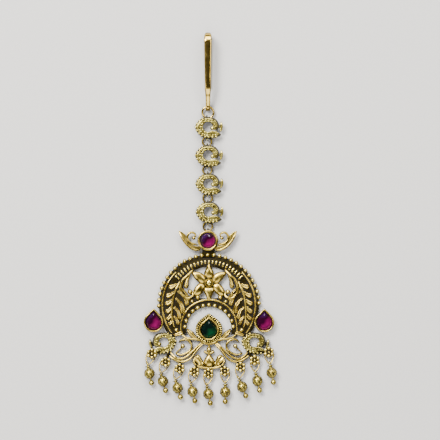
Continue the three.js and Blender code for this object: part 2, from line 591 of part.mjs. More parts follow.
function stones() {
  const top = (z1) => z1 + CUP_RISE * 0.4;
  const floor = CUP_FLOOR + CLEAR;
  const pearStone = (x, y, r, l, z0, z1) => {
    const inset = CUP_WALL + STONE_GAP;
    const outline = pear(x, y, r - inset, l - inset * (1 + (l - r) / r), 8);
    return cutStone(outline, x, y, z0 + floor, z1 - CUP_RISE * 0.4, top(z1));
  };
  const roundR = CROWN_R - CROWN_WALL - STONE_GAP;
  const round = arcPoints(CROWN_SHIFT, crownY, roundR, 0, 330, 11);
  return [
    named('stone_crown', cutStone(round, CROWN_SHIFT, crownY, chainPlateZ + floor, crownTop - CUP_RISE * 0.4,
      top(crownTop)), pinkGlass),
    named('stone_left', pearStone(-sideStoneX, sideStoneY, SIDE_CUP_R, SIDE_CUP_L, 0, cupTop), pinkGlass),
    named('stone_right', pearStone(sideStoneX, sideStoneY, SIDE_CUP_R, SIDE_CUP_L, 0, cupTop), pinkGlass),
    named('stone_centre', pearStone(0, DISC_R * CENTRE_STONE_Y, CENTRE_CUP_R, CENTRE_CUP_L, 0, cupTop), greenGlass),
  ];
}

// Chain: from the crown up, each motif stands one link above the piece below it
const linkGap = 2 * (LINK_R - LOOP_SET);
const crownEdge = crownY + CROWN_R;
const motifY = CHAIN_SHIFT.map((_, i) => crownEdge + linkGap * (i + 1) + CRESCENT_H * (i + 0.5)).reverse();

function chainCrescent(name, x, y) {
  const z1 = chainPlateZ + CRESCENT_T;
  const zTop = z1 + CRESCENT_RELIEF;
  const loop = (side) => loopBehind(
    0, side * (CRESCENT_H / 2 - LOOP_SET), LOOP_HOLE_R, LOOP_WIRE_R, chainPlateZ + CRESCENT_T / 2,
  );
  const body = join([
    crescent(CRESCENT_H, chainPlateZ, z1, zTop),
    plate(scaled(SPIKE_EDGE, CRESCENT_H), chainPlateZ, z1 + CRESCENT_RELIEF / 2),
    loop(1), loop(-1),
  ]);
  return named(name, body.translate([x, y, 0]), gold);
}

function chain() {
  const shifts = [...CHAIN_SHIFT, CROWN_SHIFT];
  const motifs = motifY.map((y, i) => chainCrescent(`crescent_${i + 1}`, shifts[i], y));
  const links = motifY.map((y, i) => {
    const x = (shifts[i] + shifts[i + 1]) / 2;
    const ring = torus(LINK_R, LINK_WIRE_R, 5, 10).translate(x, y - CRESCENT_H / 2 - linkGap / 2, linkZ);
    return named(`link_ring_${i + 1}`, solid(ring), gold);
  });
  return [...motifs, ...links];
}

// Hook ring: tilted so that it runs through the first motif's loop and the hook's eye
const chainTop = motifY[0] + CRESCENT_H / 2;
const hookRingY = chainTop - LOOP_SET + HOOK_RING_R;
const eyeY = hookRingY + HOOK_RING_R;
const eyeZ = EYE_R;
const hookX = CHAIN_SHIFT[0] / 2;

function hookRing() {
  const tilt = Math.asin((eyeZ - linkZ) / (2 * HOOK_RING_R));
  const ring = torus(HOOK_RING_R, HOOK_RING_WIRE_R, 5, 12).rotateX(tilt);
  return named('hook_ring', solid(ring.translate(hookX, hookRingY, (eyeZ + linkZ) / 2)), gold);
}

// The hook's side profile, drawn in Y and Z, is cut to the strip's tapering outline seen from the front
function hook() {
  const bendR = HOOK_THROAT / 2;
  const topY = eyeY + HOOK_L;
  const bendY = topY - bendR - HOOK_T;
  const bendZ = HOOK_T + bendR;
  const drop = eyeY + HOOK_L * 0.25;
  const outer = arcPoints(bendY, bendZ, bendR + HOOK_T, -90, 90, 7);
  const inner = arcPoints(bendY, bendZ, bendR, 90, -90, 6);
  const profile = [
    [bendY - HOOK_BACK_L, 0], ...outer,
    [drop, bendZ + bendR + HOOK_T * 0.8], [eyeY, eyeZ + EYE_R], [eyeY, eyeZ + EYE_R - HOOK_T],
    [drop, bendZ + bendR - HOOK_T * 0.3], ...inner, [bendY - HOOK_BACK_L, HOOK_T],
  ];
  const side = plate(profile, -HOOK_TOP_W, HOOK_TOP_W).rotate([90, 0, 90]);
  const front = plate([
    [-HOOK_END_W / 2, eyeY - EYE_R * 2], [HOOK_END_W / 2, eyeY - EYE_R * 2],
    [HOOK_END_W / 2, eyeY + EYE_R], [HOOK_TOP_W / 2, bendY], [HOOK_TOP_W * 0.45, topY - HOOK_T * 0.6],
    [HOOK_TOP_W * 0.25, topY], [-HOOK_TOP_W * 0.25, topY], [-HOOK_TOP_W * 0.45, topY - HOOK_T * 0.6],
    [-HOOK_TOP_W / 2, bendY], [-HOOK_END_W / 2, eyeY + EYE_R],
  ], -OVERCUT, HOOK_THROAT + HOOK_T * 3);
  const eye = (r, width) => solid(new THREE.CylinderGeometry(r, r, width, 10).rotateZ(Math.PI / 2)
    .translate(0, eyeY, eyeZ));
  const strip = side.intersect(front).add(eye(EYE_R, HOOK_END_W)).subtract(eye(EYE_R - EYE_WALL, HOOK_TOP_W * 2));
  return named('hook', strip.translate([hookX, 0, 0]), gold);
}

// The middle of a pear loop's wire at angle a: its top at the origin, wide near the top, narrow at the foot
function pearLine(a, width, length) {
  const x = Math.cos(a) * (1 + DROP_RING_TAPER * Math.sin(a));
  return new THREE.Vector2(x * width / 2 * DROP_RING_FILL, (Math.sin(a) - 1) * length / 2);
}

// A pear-shaped wire loop that runs from the loop behind a rosette down through the eye of its drop: a ring
// whose middle line is bent to the pear's line
function dropRing(name, row) {
  const ringR = DROP_RING_W / 2;
  const geometry = torus(ringR, DROP_WIRE_R, 5, 10);
  const place = geometry.attributes.position;
  for (let i = 0; i < place.count; i += 1) {
    const a = Math.atan2(place.getY(i), place.getX(i));
    const out = Math.hypot(place.getX(i), place.getY(i)) - ringR;
    const middle = pearLine(a, DROP_RING_W, DROP_RING_L);
    const ahead = pearLine(a + MERGE, DROP_RING_W, DROP_RING_L).sub(middle).normalize();
    place.setXY(i, middle.x + ahead.y * out, middle.y - ahead.x * out);
  }
  geometry.rotateX(-Math.asin(dropRise / DROP_RING_L)).translate(0, DROP_SET, dropLoopZ).rotateZ(rad(row.ring));
  return named(name, solid(geometry.translate(row.x * DISC_R, row.y * DISC_R, 0)), gold);
}

// A drop: eye, cup, ball, pin and end ball, turned about one pin
function dropBead(name, row) {
  const ballTop = BALL_DROP - BALL_R;
  const endY = BALL_DROP + BALL_R + PIN_SHOW + END_BALL_R;
  const onBall = (centre, r, a) => [r * Math.cos(rad(a)), centre + r * Math.sin(rad(a))];
  const waist = BALL_DROP + BALL_R + PIN_SHOW / 2;
  const profile = [
    [0, EYE_HOLE_R * 0.8], [BEAD_CUP_R, ballTop - BEAD_CUP_R * 0.2],
    onBall(BALL_DROP, BALL_R, -50), onBall(BALL_DROP, BALL_R, 0), onBall(BALL_DROP, BALL_R, 50),
    [PIN_R, waist], onBall(endY, END_BALL_R, -35), onBall(endY, END_BALL_R, 35), [0, endY + END_BALL_R],
  ];
  const turned = new THREE.LatheGeometry(profile.map(([r, y]) => new THREE.Vector2(r, -y)).reverse(), 10);
  const eye = torus(EYE_HOLE_R + EYE_WIRE_R, EYE_WIRE_R, 4, 6).rotateY(Math.PI / 2)
    .rotateZ(rad(row.ring - row.bead) / 2);
  const reach = DROP_RING_L * Math.cos(Math.asin(dropRise / DROP_RING_L)) - DROP_SET;
  const lean = rad(row.ring);
  const x = row.x * DISC_R + reach * Math.sin(lean);
  const y = row.y * DISC_R - reach * Math.cos(lean);
  const body = solid(turned).add(solid(eye));
  return named(name, body.rotate([0, 0, row.bead]).translate([x, y, BALL_R]), gold);
}

const jewel = new THREE.Group();
jewel.add(hook(), hookRing(), ...chain(), named('pendant', pendant(), gold), ...stones());
DROPS.forEach((row, i) => {
  jewel.add(dropRing(`drop_ring_${i + 1}`, row), dropBead(`drop_bead_${i + 1}`, row));
});

export default jewel;
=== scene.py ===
"""Maang tikka, a forehead jewel in antique gold with pink and green cut glass, lying on its back.

Tables are in shares of the disc's radius unless they say millimetres; meshes are made in millimetres and
turned to metres as each shape is made. +X is the picture's right, +Y runs up to the hook, +Z faces the eye.
"""

import math

import bmesh
import bpy
import numpy as np
from mathutils import Matrix, Vector


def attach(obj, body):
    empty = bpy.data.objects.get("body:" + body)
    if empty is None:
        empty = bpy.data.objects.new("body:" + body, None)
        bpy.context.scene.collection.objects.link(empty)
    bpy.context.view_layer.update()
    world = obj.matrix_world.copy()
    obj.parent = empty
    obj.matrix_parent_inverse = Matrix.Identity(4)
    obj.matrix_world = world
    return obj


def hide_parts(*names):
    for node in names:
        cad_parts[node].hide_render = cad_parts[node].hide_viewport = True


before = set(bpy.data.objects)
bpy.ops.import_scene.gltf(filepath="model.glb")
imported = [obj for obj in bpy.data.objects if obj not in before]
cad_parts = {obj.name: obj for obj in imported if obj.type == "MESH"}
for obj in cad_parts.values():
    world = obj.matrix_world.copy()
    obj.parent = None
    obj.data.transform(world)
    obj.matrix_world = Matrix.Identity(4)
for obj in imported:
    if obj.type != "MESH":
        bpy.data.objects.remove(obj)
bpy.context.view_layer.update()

MM = 0.001

# Sizes of the pendant, in millimetres
DISC_R = 16.67
GROUND_TOP = 1.3
RELIEF_TOP = 2.1
CUP_TOP = 2.8
WIRE_W = 0.75
GRANULE_R = 0.67
GRANULE_COUNT = 27
ARCH_GRANULE_R = 0.73
ARCH_GRANULE_COUNT = 13
RIB_COUNT = 21
CUP_WALL = 0.55
CUP_FLOOR = 0.8
SIDE_CUP = (3.3, 8.0)
CENTRE_CUP = (3.37, 7.9)
CENTRE_RIM = (4.48, 10.1)
CENTRE_RIM_W = 0.95
CROWN_R = 3.43
CROWN_WALL = 0.75
CROWN_X = -0.38
CROWN_Y = DISC_R + GRANULE_R + 0.7 + CROWN_R
CHAIN_Z = 1.69
CROWN_TOP = 3.19
STONE_GAP = 0.25
# a stone's foot over its cup's floor, and its girdle and table below and above its cup's lip
STONE_FOOT = 0.3
STONE_SUNK = 0.6
STONE_PROUD = 0.5

# Sizes of the chain, the hook and the drops, in millimetres
CRESCENT_H = 6.93
CRESCENT_T = 0.8
CRESCENT_TOP = CHAIN_Z + CRESCENT_T + 0.5
CHAIN_X = (-0.67, -0.62, -0.5, -0.42)
LINK_GAP = 2.46
LINK_R = 1.5
LINK_Z = 1.06
LINK_WIRE_R = 0.33
LOOP_HOLE_R = 0.62
LOOP_WIRE_R = 0.22
LOOP_SET = 0.27
HOOK_RING_R = 1.88
HOOK_RING_WIRE_R = 0.35
HOOK_TOP_W = 2.57
HOOK_T = 0.9
HOOK_L = 24.5
HOOK_BACK_L = 15.0
HOOK_THROAT = 4.5
EYE_R = 1.4
EYE_WALL = 0.5
ROSETTE_R = 1.87
DROP_RING = (3.0, 4.35)
DROP_RING_TAPER = 0.45
DROP_WIRE_R = 0.22
DROP_LOOP_HOLE_R = 0.52
DROP_LOOP_WIRE_R = 0.2
DROP_SET = 0.35
DROP_LOOP_Z = 0.92
BEAD_EYE_R = 0.83
BEAD_EYE_WIRE_R = 0.17
BALL_R = 1.83
BALL_DROP = 3.03
END_BALL_R = 0.92
BEAD_CUP_R = 0.98
PIN_R = 0.26
PIN_SHOW = 0.45
# the hammered marks of a ball: how many, how deep, and the width of their joins as a share of the radius
BALL_MARKS = 28
MARK_DEPTH = 0.28
MARK_JOIN = 0.21
# the hook's half-widths as shares of HOOK_TOP_W: from the eye upwards, then down from the top of the bend
HOOK_RISE = [(0.0, 0.29), (2.8, 0.3), (5.4, 0.39), (12.0, 0.43)]
HOOK_BEND = [(-2.2, 0.5), (-0.9, 0.48), (-0.3, 0.43), (0.0, 0.36)]
# the soft lights: name, place and size in metres, watts
LIGHTS = [
    ("window", (-0.36, 0.48, 0.8), 0.4, 19.0), ("back_panel", (0.05, 0.8, 0.62), 0.6, 11.0),
    ("right_panel", (0.5, 0.3, 0.8), 0.4, 3.5), ("left_panel", (-0.55, -0.2, 0.8), 0.4, 2.5),
    ("low_panel", (0.05, -0.6, 0.75), 0.6, 4.0),
]
# the picture: its width in pixels, pixels to a millimetre, what it centres on and the camera's height
PICTURE_W = 440
PICTURE_SCALE = 3
PICTURE_CENTRE = (3.67, 28.27)
CAMERA_HEIGHT = 0.75
# leaves and petals: rows along a leaf, the straight part of their height, and a groove's share of the width
LEAF_ROWS = 22
LEAF_SHOULDER = 0.58
LEAF_GROOVE_W = 0.22
CUSHION_SHOULDER = 0.7
# the share of an open wire's length over which each end thins
TAPER_SHARE = 0.18


# The metals, the stones and the card


def colour(hex_code):
    """An sRGB hex colour as linear RGBA."""
    channels = [int(hex_code[i : i + 2], 16) / 255 for i in (1, 3, 5)]
    linear = [c / 12.92 if c <= 0.04045 else ((c + 0.055) / 1.055) ** 2.4 for c in channels]
    return (*linear, 1.0)


def add_node(tree, kind, links=None, **settings):
    """Adds a node. links maps its inputs, by name or number, to values, to outputs or to whole nodes, which
    stand for their first output."""
    made = tree.nodes.new(kind)
    for key, value in settings.items():
        setattr(made, key, value)
    for key, value in (links or {}).items():
        if isinstance(value, bpy.types.Node):
            value = value.outputs[0]
        if isinstance(value, bpy.types.NodeSocket):
            tree.links.new(value, made.inputs[key])
        else:
            made.inputs[key].default_value = value
    return made


def new_material(name):
    """An empty material and its tree."""
    material = bpy.data.materials.new(name)
    material.use_nodes = True
    material.node_tree.nodes.clear()
    return material, material.node_tree


def end_material(tree, links):
    """The shader and the output close each material."""
    shader = add_node(tree, "ShaderNodeBsdfPrincipled", links)
    add_node(tree, "ShaderNodeOutputMaterial", {"Surface": shader})


def layered(tree, base, layers):
    """Colours laid one over another. Each layer gives what it follows, the lowest and highest value it
    looks for, how much it covers at those two, and its colour."""
    tone = colour(base)
    for value, low, high, least, most, hex_code in layers:
        cover = add_node(tree, "ShaderNodeMapRange", {0: value, 1: low, 2: high, 3: least, 4: most})
        both_tones = {0: cover, 6: tone, 7: colour(hex_code)}
        tone = add_node(tree, "ShaderNodeMix", both_tones, data_type="RGBA").outputs[2]
    return tone


def antique_gold(name, bright="#E6C860", warm="#9C8030", pitting=0.1, polish=0.19, pits=0.0, oxide_and_shade_to=0.86,
                 uneven=0.08, joins=False):
    """Antique gold plate on brass: polished on the crowns of the relief, with dark oxide left in the
    recesses, painted shade on steep sides and where the card and nearby parts would shade the metal, and a
    thin, slightly green tarnish in patches, so that every edge draws a bright line on near black."""
    material, tree = new_material(name)
    place = add_node(tree, "ShaderNodeTexCoord").outputs["Object"]
    # tarnish in patches of 1.5 mm, 650 to the metre, and casting grain of 0.24 mm, 4200 to the metre
    patches = add_node(tree, "ShaderNodeTexNoise", {"Vector": place, "Scale": 650.0, "Detail": 3.0})
    grain = add_node(tree, "ShaderNodeTexNoise", {"Vector": place, "Scale": 4200.0, "Detail": 2.0})
    # oxide stays in hollows about a millimetre wide; the same occlusion also paints shade where the card and
    # nearby parts would shade the metal
    nooks = add_node(tree, "ShaderNodeAmbientOcclusion", {"Distance": 1.1 * MM}, samples=8).outputs["AO"]
    open_from, open_to = oxide_and_shade_to * 0.35, oxide_and_shade_to
    hollow_oxide_and_shade = add_node(tree, "ShaderNodeMapRange", {0: nooks, 1: open_from, 2: open_to, 3: 1.0, 4: 0.0})
    # painted shade: the further a face turns from facing up, the darker it is painted, so steep sides stay
    # dark too
    normal = add_node(tree, "ShaderNodeNewGeometry").outputs["Normal"]
    facing = add_node(tree, "ShaderNodeSeparateXYZ", {0: normal}).outputs["Z"]
    painted_side_shade = add_node(tree, "ShaderNodeMapRange", {0: facing, 1: 0.1, 2: 0.72, 3: 1.0, 4: 0.0})
    oxide_and_shade = add_node(tree, "ShaderNodeMath", {0: painted_side_shade, 1: hollow_oxide_and_shade}, operation="MAXIMUM")
    if joins:
        # oxide also fills the struck joins, which the mesh marks with an attribute; the same attribute
        # darkens whole plates marked as sunk
        sunk = add_node(tree, "ShaderNodeAttribute", attribute_name="sunk").outputs["Fac"]
        oxide_and_shade = add_node(tree, "ShaderNodeMath", {0: sunk, 1: oxide_and_shade}, operation="MAXIMUM")
    oxide_and_shade = add_node(tree, "ShaderNodeMapRange", {0: oxide_and_shade, 1: 0.0, 2: 0.82})
    layers = [(patches, 0.28, 0.72, 0.0, 1.0, bright), (grain, 0.35, 0.75, 0.0, 0.2, "#6A5E26")]
    if pits:
        # punched pits, up to 0.5 mm across and filled with oxide
        cells = add_node(tree, "ShaderNodeTexVoronoi", {"Vector": place, "Scale": pits})
        layers.append((cells, 0.14, 0.22, 1.0, 0.0, "#2A1E08"))
    # the near black laid last is oxide in the hollows and painted shade on steep sides and near the card
    tone = layered(tree, warm, [*layers, (oxide_and_shade, 0.0, 1.0, 0.0, 1.0, "#120C03")])
    metallic = add_node(tree, "ShaderNodeMapRange", {0: oxide_and_shade, 3: 1.0, 4: 0.35})
    smears = add_node(tree, "ShaderNodeMapRange", {0: patches, 1: 0.3, 2: 0.7, 3: 0.0, 4: uneven})
    matt = add_node(tree, "ShaderNodeMapRange", {0: oxide_and_shade, 3: polish, 4: 0.6})
    rough = add_node(tree, "ShaderNodeMath", {0: smears, 1: matt}, operation="ADD")
    bump = add_node(tree, "ShaderNodeBump", {"Height": grain, "Distance": 0.04 * MM, "Strength": pitting})
    end_material(tree, {"Base Color": tone, "Metallic": metallic, "Roughness": rough, "Normal": bump})
    return material


def cut_glass(name, deep, lit, side):
    """Faceted glass over a tinted foil: wet looking and dark, with a painted glow, light painted in the
    foil's colour, across the lower right, and a cooler tint painted across the upper left."""
    material, tree = new_material(name)
    painted_glow = add_node(tree, "ShaderNodeAttribute", attribute_name="painted_glow").outputs["Fac"]
    place = add_node(tree, "ShaderNodeTexCoord").outputs["Object"]
    # the crumpled foil shows through as soft cells about 2 mm across, 500 to the metre
    cells = add_node(tree, "ShaderNodeTexVoronoi", {"Vector": place, "Scale": 500.0})
    # painted light: the glow lifts the tint from the cooler side colour through deep to lit towards the lower
    # right
    wave = add_node(tree, "ShaderNodeMath", {0: cells, 1: 0.35, 2: painted_glow}, operation="MULTIPLY_ADD")
    tint = layered(tree, side, [(wave, 0.15, 0.5, 0.0, 1.0, deep), (wave, 0.6, 1.1, 0.0, 1.0, lit)])
    end_material(tree, {"Base Color": tint, "IOR": 1.54, "Roughness": 0.05, "Transmission Weight": 0.3})
    return material


def paper(name):
    """Matt card under the jewel: a soft pale surface with a faint tooth of 0.7 mm, 1500 to the metre."""
    material, tree = new_material(name)
    place = add_node(tree, "ShaderNodeTexCoord").outputs["Object"]
    tooth = add_node(tree, "ShaderNodeTexNoise", {"Vector": place, "Scale": 1500.0, "Detail": 2.0})
    shade = layered(tree, "#CFCCC6", [(tooth, 0.0, 1.0, 0.0, 1.0, "#D9D6D1")])
    end_material(tree, {"Base Color": shade, "Roughness": 0.9})
    return material


# as cast and lightly rubbed: warm gold lines with brown-black beside them
cast_gold = antique_gold("cast_antique_gold")
# rubbed bright on the high points: granules and rims end in a white spot of light
polished_gold = antique_gold("polished_antique_gold", "#F6DE74", "#BEA244", pitting=0.05, polish=0.13,
                             oxide_and_shade_to=0.6)
# dull and olive: a darker copy of the gold, as painted shade, so the link rings sit back between the motifs
shaded_olive_gold = antique_gold("shaded_dulled_antique_gold", "#8E7834", "#54431A", polish=0.3)
# pale and full of oxide pits: the crescents sparkle unevenly
pitted_gold = antique_gold("pitted_antique_gold", "#F4E27A", "#AC9640", pitting=0.12, polish=0.2, pits=700.0,
                           oxide_and_shade_to=0.88, joins=True)
# the ground, black and rough with oxide: the relief stands out from it; the same near black is also painted
# shade on the bed under the milled rim and on the backs, loops and roots under the rosettes
oxide_and_shade_gold = antique_gold("oxidised_and_shaded_ground_gold", "#1A1306", "#0B0702", pitting=0.6, polish=0.5)
# rolled strip, smooth as a mirror: long bands of dark and light
hook_gold = antique_gold("rolled_antique_gold", "#E6C768", "#CFA84C", pitting=0.03, polish=0.1, oxide_and_shade_to=0.5,
                         uneven=0.06)
# hammered balls: a bright face to each mark and black joins between them
bead_gold = antique_gold("hammered_antique_gold", "#E8D262", "#8C742C", pitting=0.15, polish=0.13,
                         oxide_and_shade_to=0.95, joins=True)
pink_stone = cut_glass("pink_cut_glass", "#2A001C", "#9C0A62", "#35124C")
green_stone = cut_glass("green_cut_glass", "#03120D", "#0B4E2A", "#041E1A")
card = paper("pale_card")


# Lines and outlines, in millimetres


def share(points, size=DISC_R, at=(0.0, 0.0)):
    """Points from shares of a size, about a place."""
    return [(x * size + at[0], y * size + at[1]) for x, y in points]


def mirrored(points):
    """The same points on the jewel's other side."""
    return [(-x, y) for x, y in points]


def smooth(points, count=40, closed=False):
    """A smooth line through a few points, as evenly spread points."""
    points = np.array(points, float)
    if closed:
        ends = np.vstack([points[-1], points, points[0], points[1]])
    else:
        ends = np.vstack([2 * points[0] - points[1], points, 2 * points[-1] - points[-2]])
    spans = len(ends) - 3
    line = []
    for i in range(spans):
        a, b, c, d = ends[i : i + 4]
        for t in np.linspace(0, 1, 12, endpoint=False):
            line.append(0.5 * (2 * b + (c - a) * t + (2 * a - 5 * b + 4 * c - d) * t**2
                               + (3 * b - a - 3 * c + d) * t**3))
    line.append(ends[-2])
    line = np.array(line)
    length = np.concatenate([[0], np.cumsum(np.linalg.norm(np.diff(line, axis=0), axis=1))])
    stops = np.linspace(0, length[-1], count, endpoint=not closed)
    return np.column_stack([np.interp(stops, length, line[:, k]) for k in range(line.shape[1])])


def arc(x, y, r, start, stop, count):
    """Points round (x, y) from one angle to another, in degrees."""
    turn = np.radians(np.linspace(start, stop, count))
    return np.column_stack([x + r * np.cos(turn), y + r * np.sin(turn)])


def turns(count):
    """Even steps round one full turn, in radians."""
    return np.linspace(0, 2 * math.pi, count, endpoint=False)


def ring_line(x, y, r, count):
    """A closed circle as evenly spread points."""
    return arc(x, y, r, 0, 360, count + 1)[:-1]


def pear(x, y, r, length, inset=0.0, count=48):
    """A pear outline, point up, around a circle of radius r about (x, y), taken in by inset."""
    reach = length - r
    r, reach = r - inset, reach - inset * reach / r
    touch = math.degrees(math.asin(r / reach))
    round_end = arc(x, y, r, 180 - touch, 360 + touch, count)
    point = np.array([x, y + reach])
    painted_side_shade = [point + (round_end[-1] - point) * t for t in np.linspace(0.8, 0.2, 4)]
    back = [point + (round_end[0] - point) * t for t in np.linspace(0.2, 0.8, 4)]
    return np.vstack([round_end, painted_side_shade, [point], back])


# Leaves, plates and other solid shapes


def tidy(mesh):
    """Merges points closer than two thousandths of a millimetre and turns the faces outwards."""
    work = bmesh.new()
    work.from_mesh(mesh)
    bmesh.ops.remove_doubles(work, verts=work.verts, dist=2e-6)
    bmesh.ops.recalc_face_normals(work, faces=work.faces)
    for face in work.faces:
        face.smooth = True
    work.to_mesh(mesh)
    work.free()


def rows_to_mesh(rows, caps=True):
    """Skins a list of equally long rows of points in millimetres; each row is a closed ring."""
    count = len(rows[0])
    verts = [v for row in rows for v in row]
    faces = []
    for j in range(len(rows) - 1):
        for i in range(count):
            a, b = j * count + i, j * count + (i + 1) % count
            faces.append((a, b, b + count, a + count))
    if caps:
        faces.append(tuple(range(count - 1, -1, -1)))
        faces.append(tuple(range((len(rows) - 1) * count, len(rows) * count)))
    mesh = bpy.data.meshes.new("work")
    mesh.from_pydata([tuple(v) for v in np.asarray(verts, float) * MM], [], faces)
    tidy(mesh)
    return mesh


def leaf(path, widths, z0, z1, groove=0.0):
    """A petal, leaf or bulb: a domed strip of changing half-width along a line, on a flat back at z0. The
    dome is highest where the strip is widest, and a groove sinks its middle."""
    line = smooth(path, LEAF_ROWS)
    half = np.interp(np.linspace(0, 1, LEAF_ROWS), *zip(*widths))
    ahead = np.gradient(line, axis=0)
    ahead /= np.linalg.norm(ahead, axis=1)[:, None] + 1e-9
    side = np.column_stack([-ahead[:, 1], ahead[:, 0]])
    widest = half.max()
    low = z0 + (z1 - z0) * LEAF_SHOULDER
    rows = []
    for (x, y), (sx, sy), w in zip(line, side, half):
        rise = (z1 - low) * min(1.0, w / widest) ** 0.6
        ring = [(x - sx * w, y - sy * w, z0), (x - sx * w, y - sy * w, low)]
        for t in np.linspace(0.12, 0.88, 12):
            a = math.pi * (1 - t)
            c = math.cos(a) * w
            s = math.sin(a) ** 0.65 - groove * math.exp(-((math.cos(a) / LEAF_GROOVE_W) ** 2))
            ring.append((x + sx * c, y + sy * c, low + rise * s))
        ring += [(x + sx * w, y + sy * w, low), (x + sx * w, y + sy * w, z0)]
        rows.append(ring)
    return rows_to_mesh(rows)


def cushion(outline, z1):
    """A petal with a domed front and a flat back on the table, from its closed outline."""
    outline = smooth(outline, 44, closed=True)
    centre = outline.mean(axis=0)
    shoulder = z1 * CUSHION_SHOULDER
    rows = [[(x, y, 0) for x, y in outline]]
    for t in (0.0, 0.2, 0.4, 0.6, 0.75, 0.88, 0.96):
        a = t * math.pi / 2
        z = shoulder + (z1 - shoulder) * math.sin(a) ** 0.85
        rows.append([(*(centre + (p - centre) * max(math.cos(a), 0.02)), z) for p in outline])
    return rows_to_mesh(rows)


def round_ends(length, r_tail, r_tip):
    """Half-widths along a leaf that widens from a round tail to a round tip."""
    widths = []
    for t in np.linspace(0, 1, LEAF_ROWS):
        w = np.interp(t, [0, 1 - 1.1 * r_tip / length, 1], [r_tail, r_tip, r_tip])
        done, left = t * length, (1 - t) * length
        if done < r_tail:
            w = min(w, math.sqrt(max(0.0, r_tail**2 - (r_tail - done) ** 2)))
        if left < r_tip:
            w = min(w, math.sqrt(max(0.0, r_tip**2 - (r_tip - left) ** 2)) * w / r_tip)
        widths.append((t, max(w, 0.012)))
    return widths


def bulb(row, z1=RELIEF_TOP, groove=0.0):
    """A leaf from a row of the tables: tail, tip, their radii and the share that it bows sideways."""
    tx, ty, px, py, r_tip, r_tail = (v * DISC_R for v in row[:6])
    bend = row[6]
    length = math.hypot(px - tx, py - ty)
    ux, uy = (px - tx) / length, (py - ty) / length
    start, stop = (tx - ux * r_tail, ty - uy * r_tail), (px + ux * r_tip, py + uy * r_tip)
    middle = ((start[0] + stop[0]) / 2 - uy * bend * length, (start[1] + stop[1]) / 2 + ux * bend * length)
    return leaf([start, middle, stop], round_ends(length + r_tip + r_tail, r_tail, r_tip), 0, z1, groove)


def lathe(profile):
    """Turns (radius, height) rows about the Y axis, downwards: heights are below the origin."""
    return rows_to_mesh([[(r * math.cos(a), -h, r * math.sin(a)) for a in turns(36)] for r, h in profile])


def joined(meshes):
    """Several meshes as one."""
    work = bmesh.new()
    for mesh in meshes:
        work.from_mesh(mesh)
    whole = bpy.data.meshes.new("work")
    work.to_mesh(whole)
    work.free()
    return whole


def moved(mesh, x=0.0, y=0.0, z=0.0, lean=0.0):
    """The same mesh turned by lean degrees about +Z and moved, in millimetres."""
    mesh = mesh.copy()
    mesh.transform(Matrix.Translation(Vector((x, y, z)) * MM) @ Matrix.Rotation(math.radians(lean), 4, "Z"))
    return mesh


def marked(mesh, value):
    """Marks the whole mesh as sunk below the polished front, by a share from 0 to 1."""
    sunk = mesh.attributes.new("sunk", "FLOAT", "POINT")
    sunk.data.foreach_set("value", [value] * len(mesh.vertices))
    return mesh


def flipped(mesh):
    """The mirror image in X, faces outwards."""
    mesh = mesh.copy()
    mesh.transform(Matrix.Diagonal((-1, 1, 1, 1)))
    tidy(mesh)
    return mesh


def plate(outlines, z0, z1, bevel=0.12):
    """A plate with rounded edges from closed outlines: the first is its edge, the others its openings."""
    data = bpy.data.curves.new("plate", "CURVE")
    data.dimensions = "2D"
    data.fill_mode = "BOTH"
    data.extrude = ((z1 - z0) / 2 - bevel) * MM
    data.bevel_depth = bevel * MM
    data.bevel_resolution = 2
    data.offset = -bevel * MM
    for outline in outlines:
        spline = data.splines.new("POLY")
        spline.points.add(len(outline) - 1)
        for point, (x, y) in zip(spline.points, outline):
            point.co = (x * MM, y * MM, 0, 1)
        spline.use_cyclic_u = True
    mesh = evaluated(bpy.data.objects.new("plate", data))
    mesh.transform(Matrix.Translation((0, 0, (z0 + z1) / 2 * MM)))
    tidy(mesh)
    shade_by_angle(mesh, 50)
    return mesh


def shade_by_angle(mesh, degrees):
    """Edges sharper than the angle stay crisp."""
    work = bmesh.new()
    work.from_mesh(mesh)
    for edge in work.edges:
        edge.smooth = len(edge.link_faces) == 2 and edge.calc_face_angle(0) < math.radians(degrees)
    work.to_mesh(mesh)
    work.free()


def evaluated(thing):
    """The object's final mesh as a plain one; the object is removed."""
    bpy.context.scene.collection.objects.link(thing)
    bpy.context.view_layer.update()
    mesh = bpy.data.meshes.new_from_object(thing.evaluated_get(bpy.context.evaluated_depsgraph_get()))
    thing.modifiers.clear()
    bpy.data.objects.remove(thing)
    return mesh


# Granules, bars and wires, grown by Geometry Nodes


def node_tree(name, sizes):
    """A new geometry tree with a geometry input, named size inputs and an output."""
    tree = bpy.data.node_groups.new(name, "GeometryNodeTree")
    tree.interface.new_socket("Geometry", in_out="INPUT", socket_type="NodeSocketGeometry")
    for size, kind in sizes.items():
        tree.interface.new_socket(size, in_out="INPUT", socket_type=kind)
    tree.interface.new_socket("Geometry", in_out="OUTPUT", socket_type="NodeSocketGeometry")
    return tree, add_node(tree, "NodeGroupInput").outputs


def end_tree(tree, shape, metal):
    """Realize Instances, smooth shading and Set Material close each tree."""
    real = add_node(tree, "GeometryNodeRealizeInstances", {0: shape})
    soft = add_node(tree, "GeometryNodeSetShadeSmooth", {0: real})
    painted = add_node(tree, "GeometryNodeSetMaterial", {0: soft, "Material": metal})
    add_node(tree, "NodeGroupOutput", {0: painted})


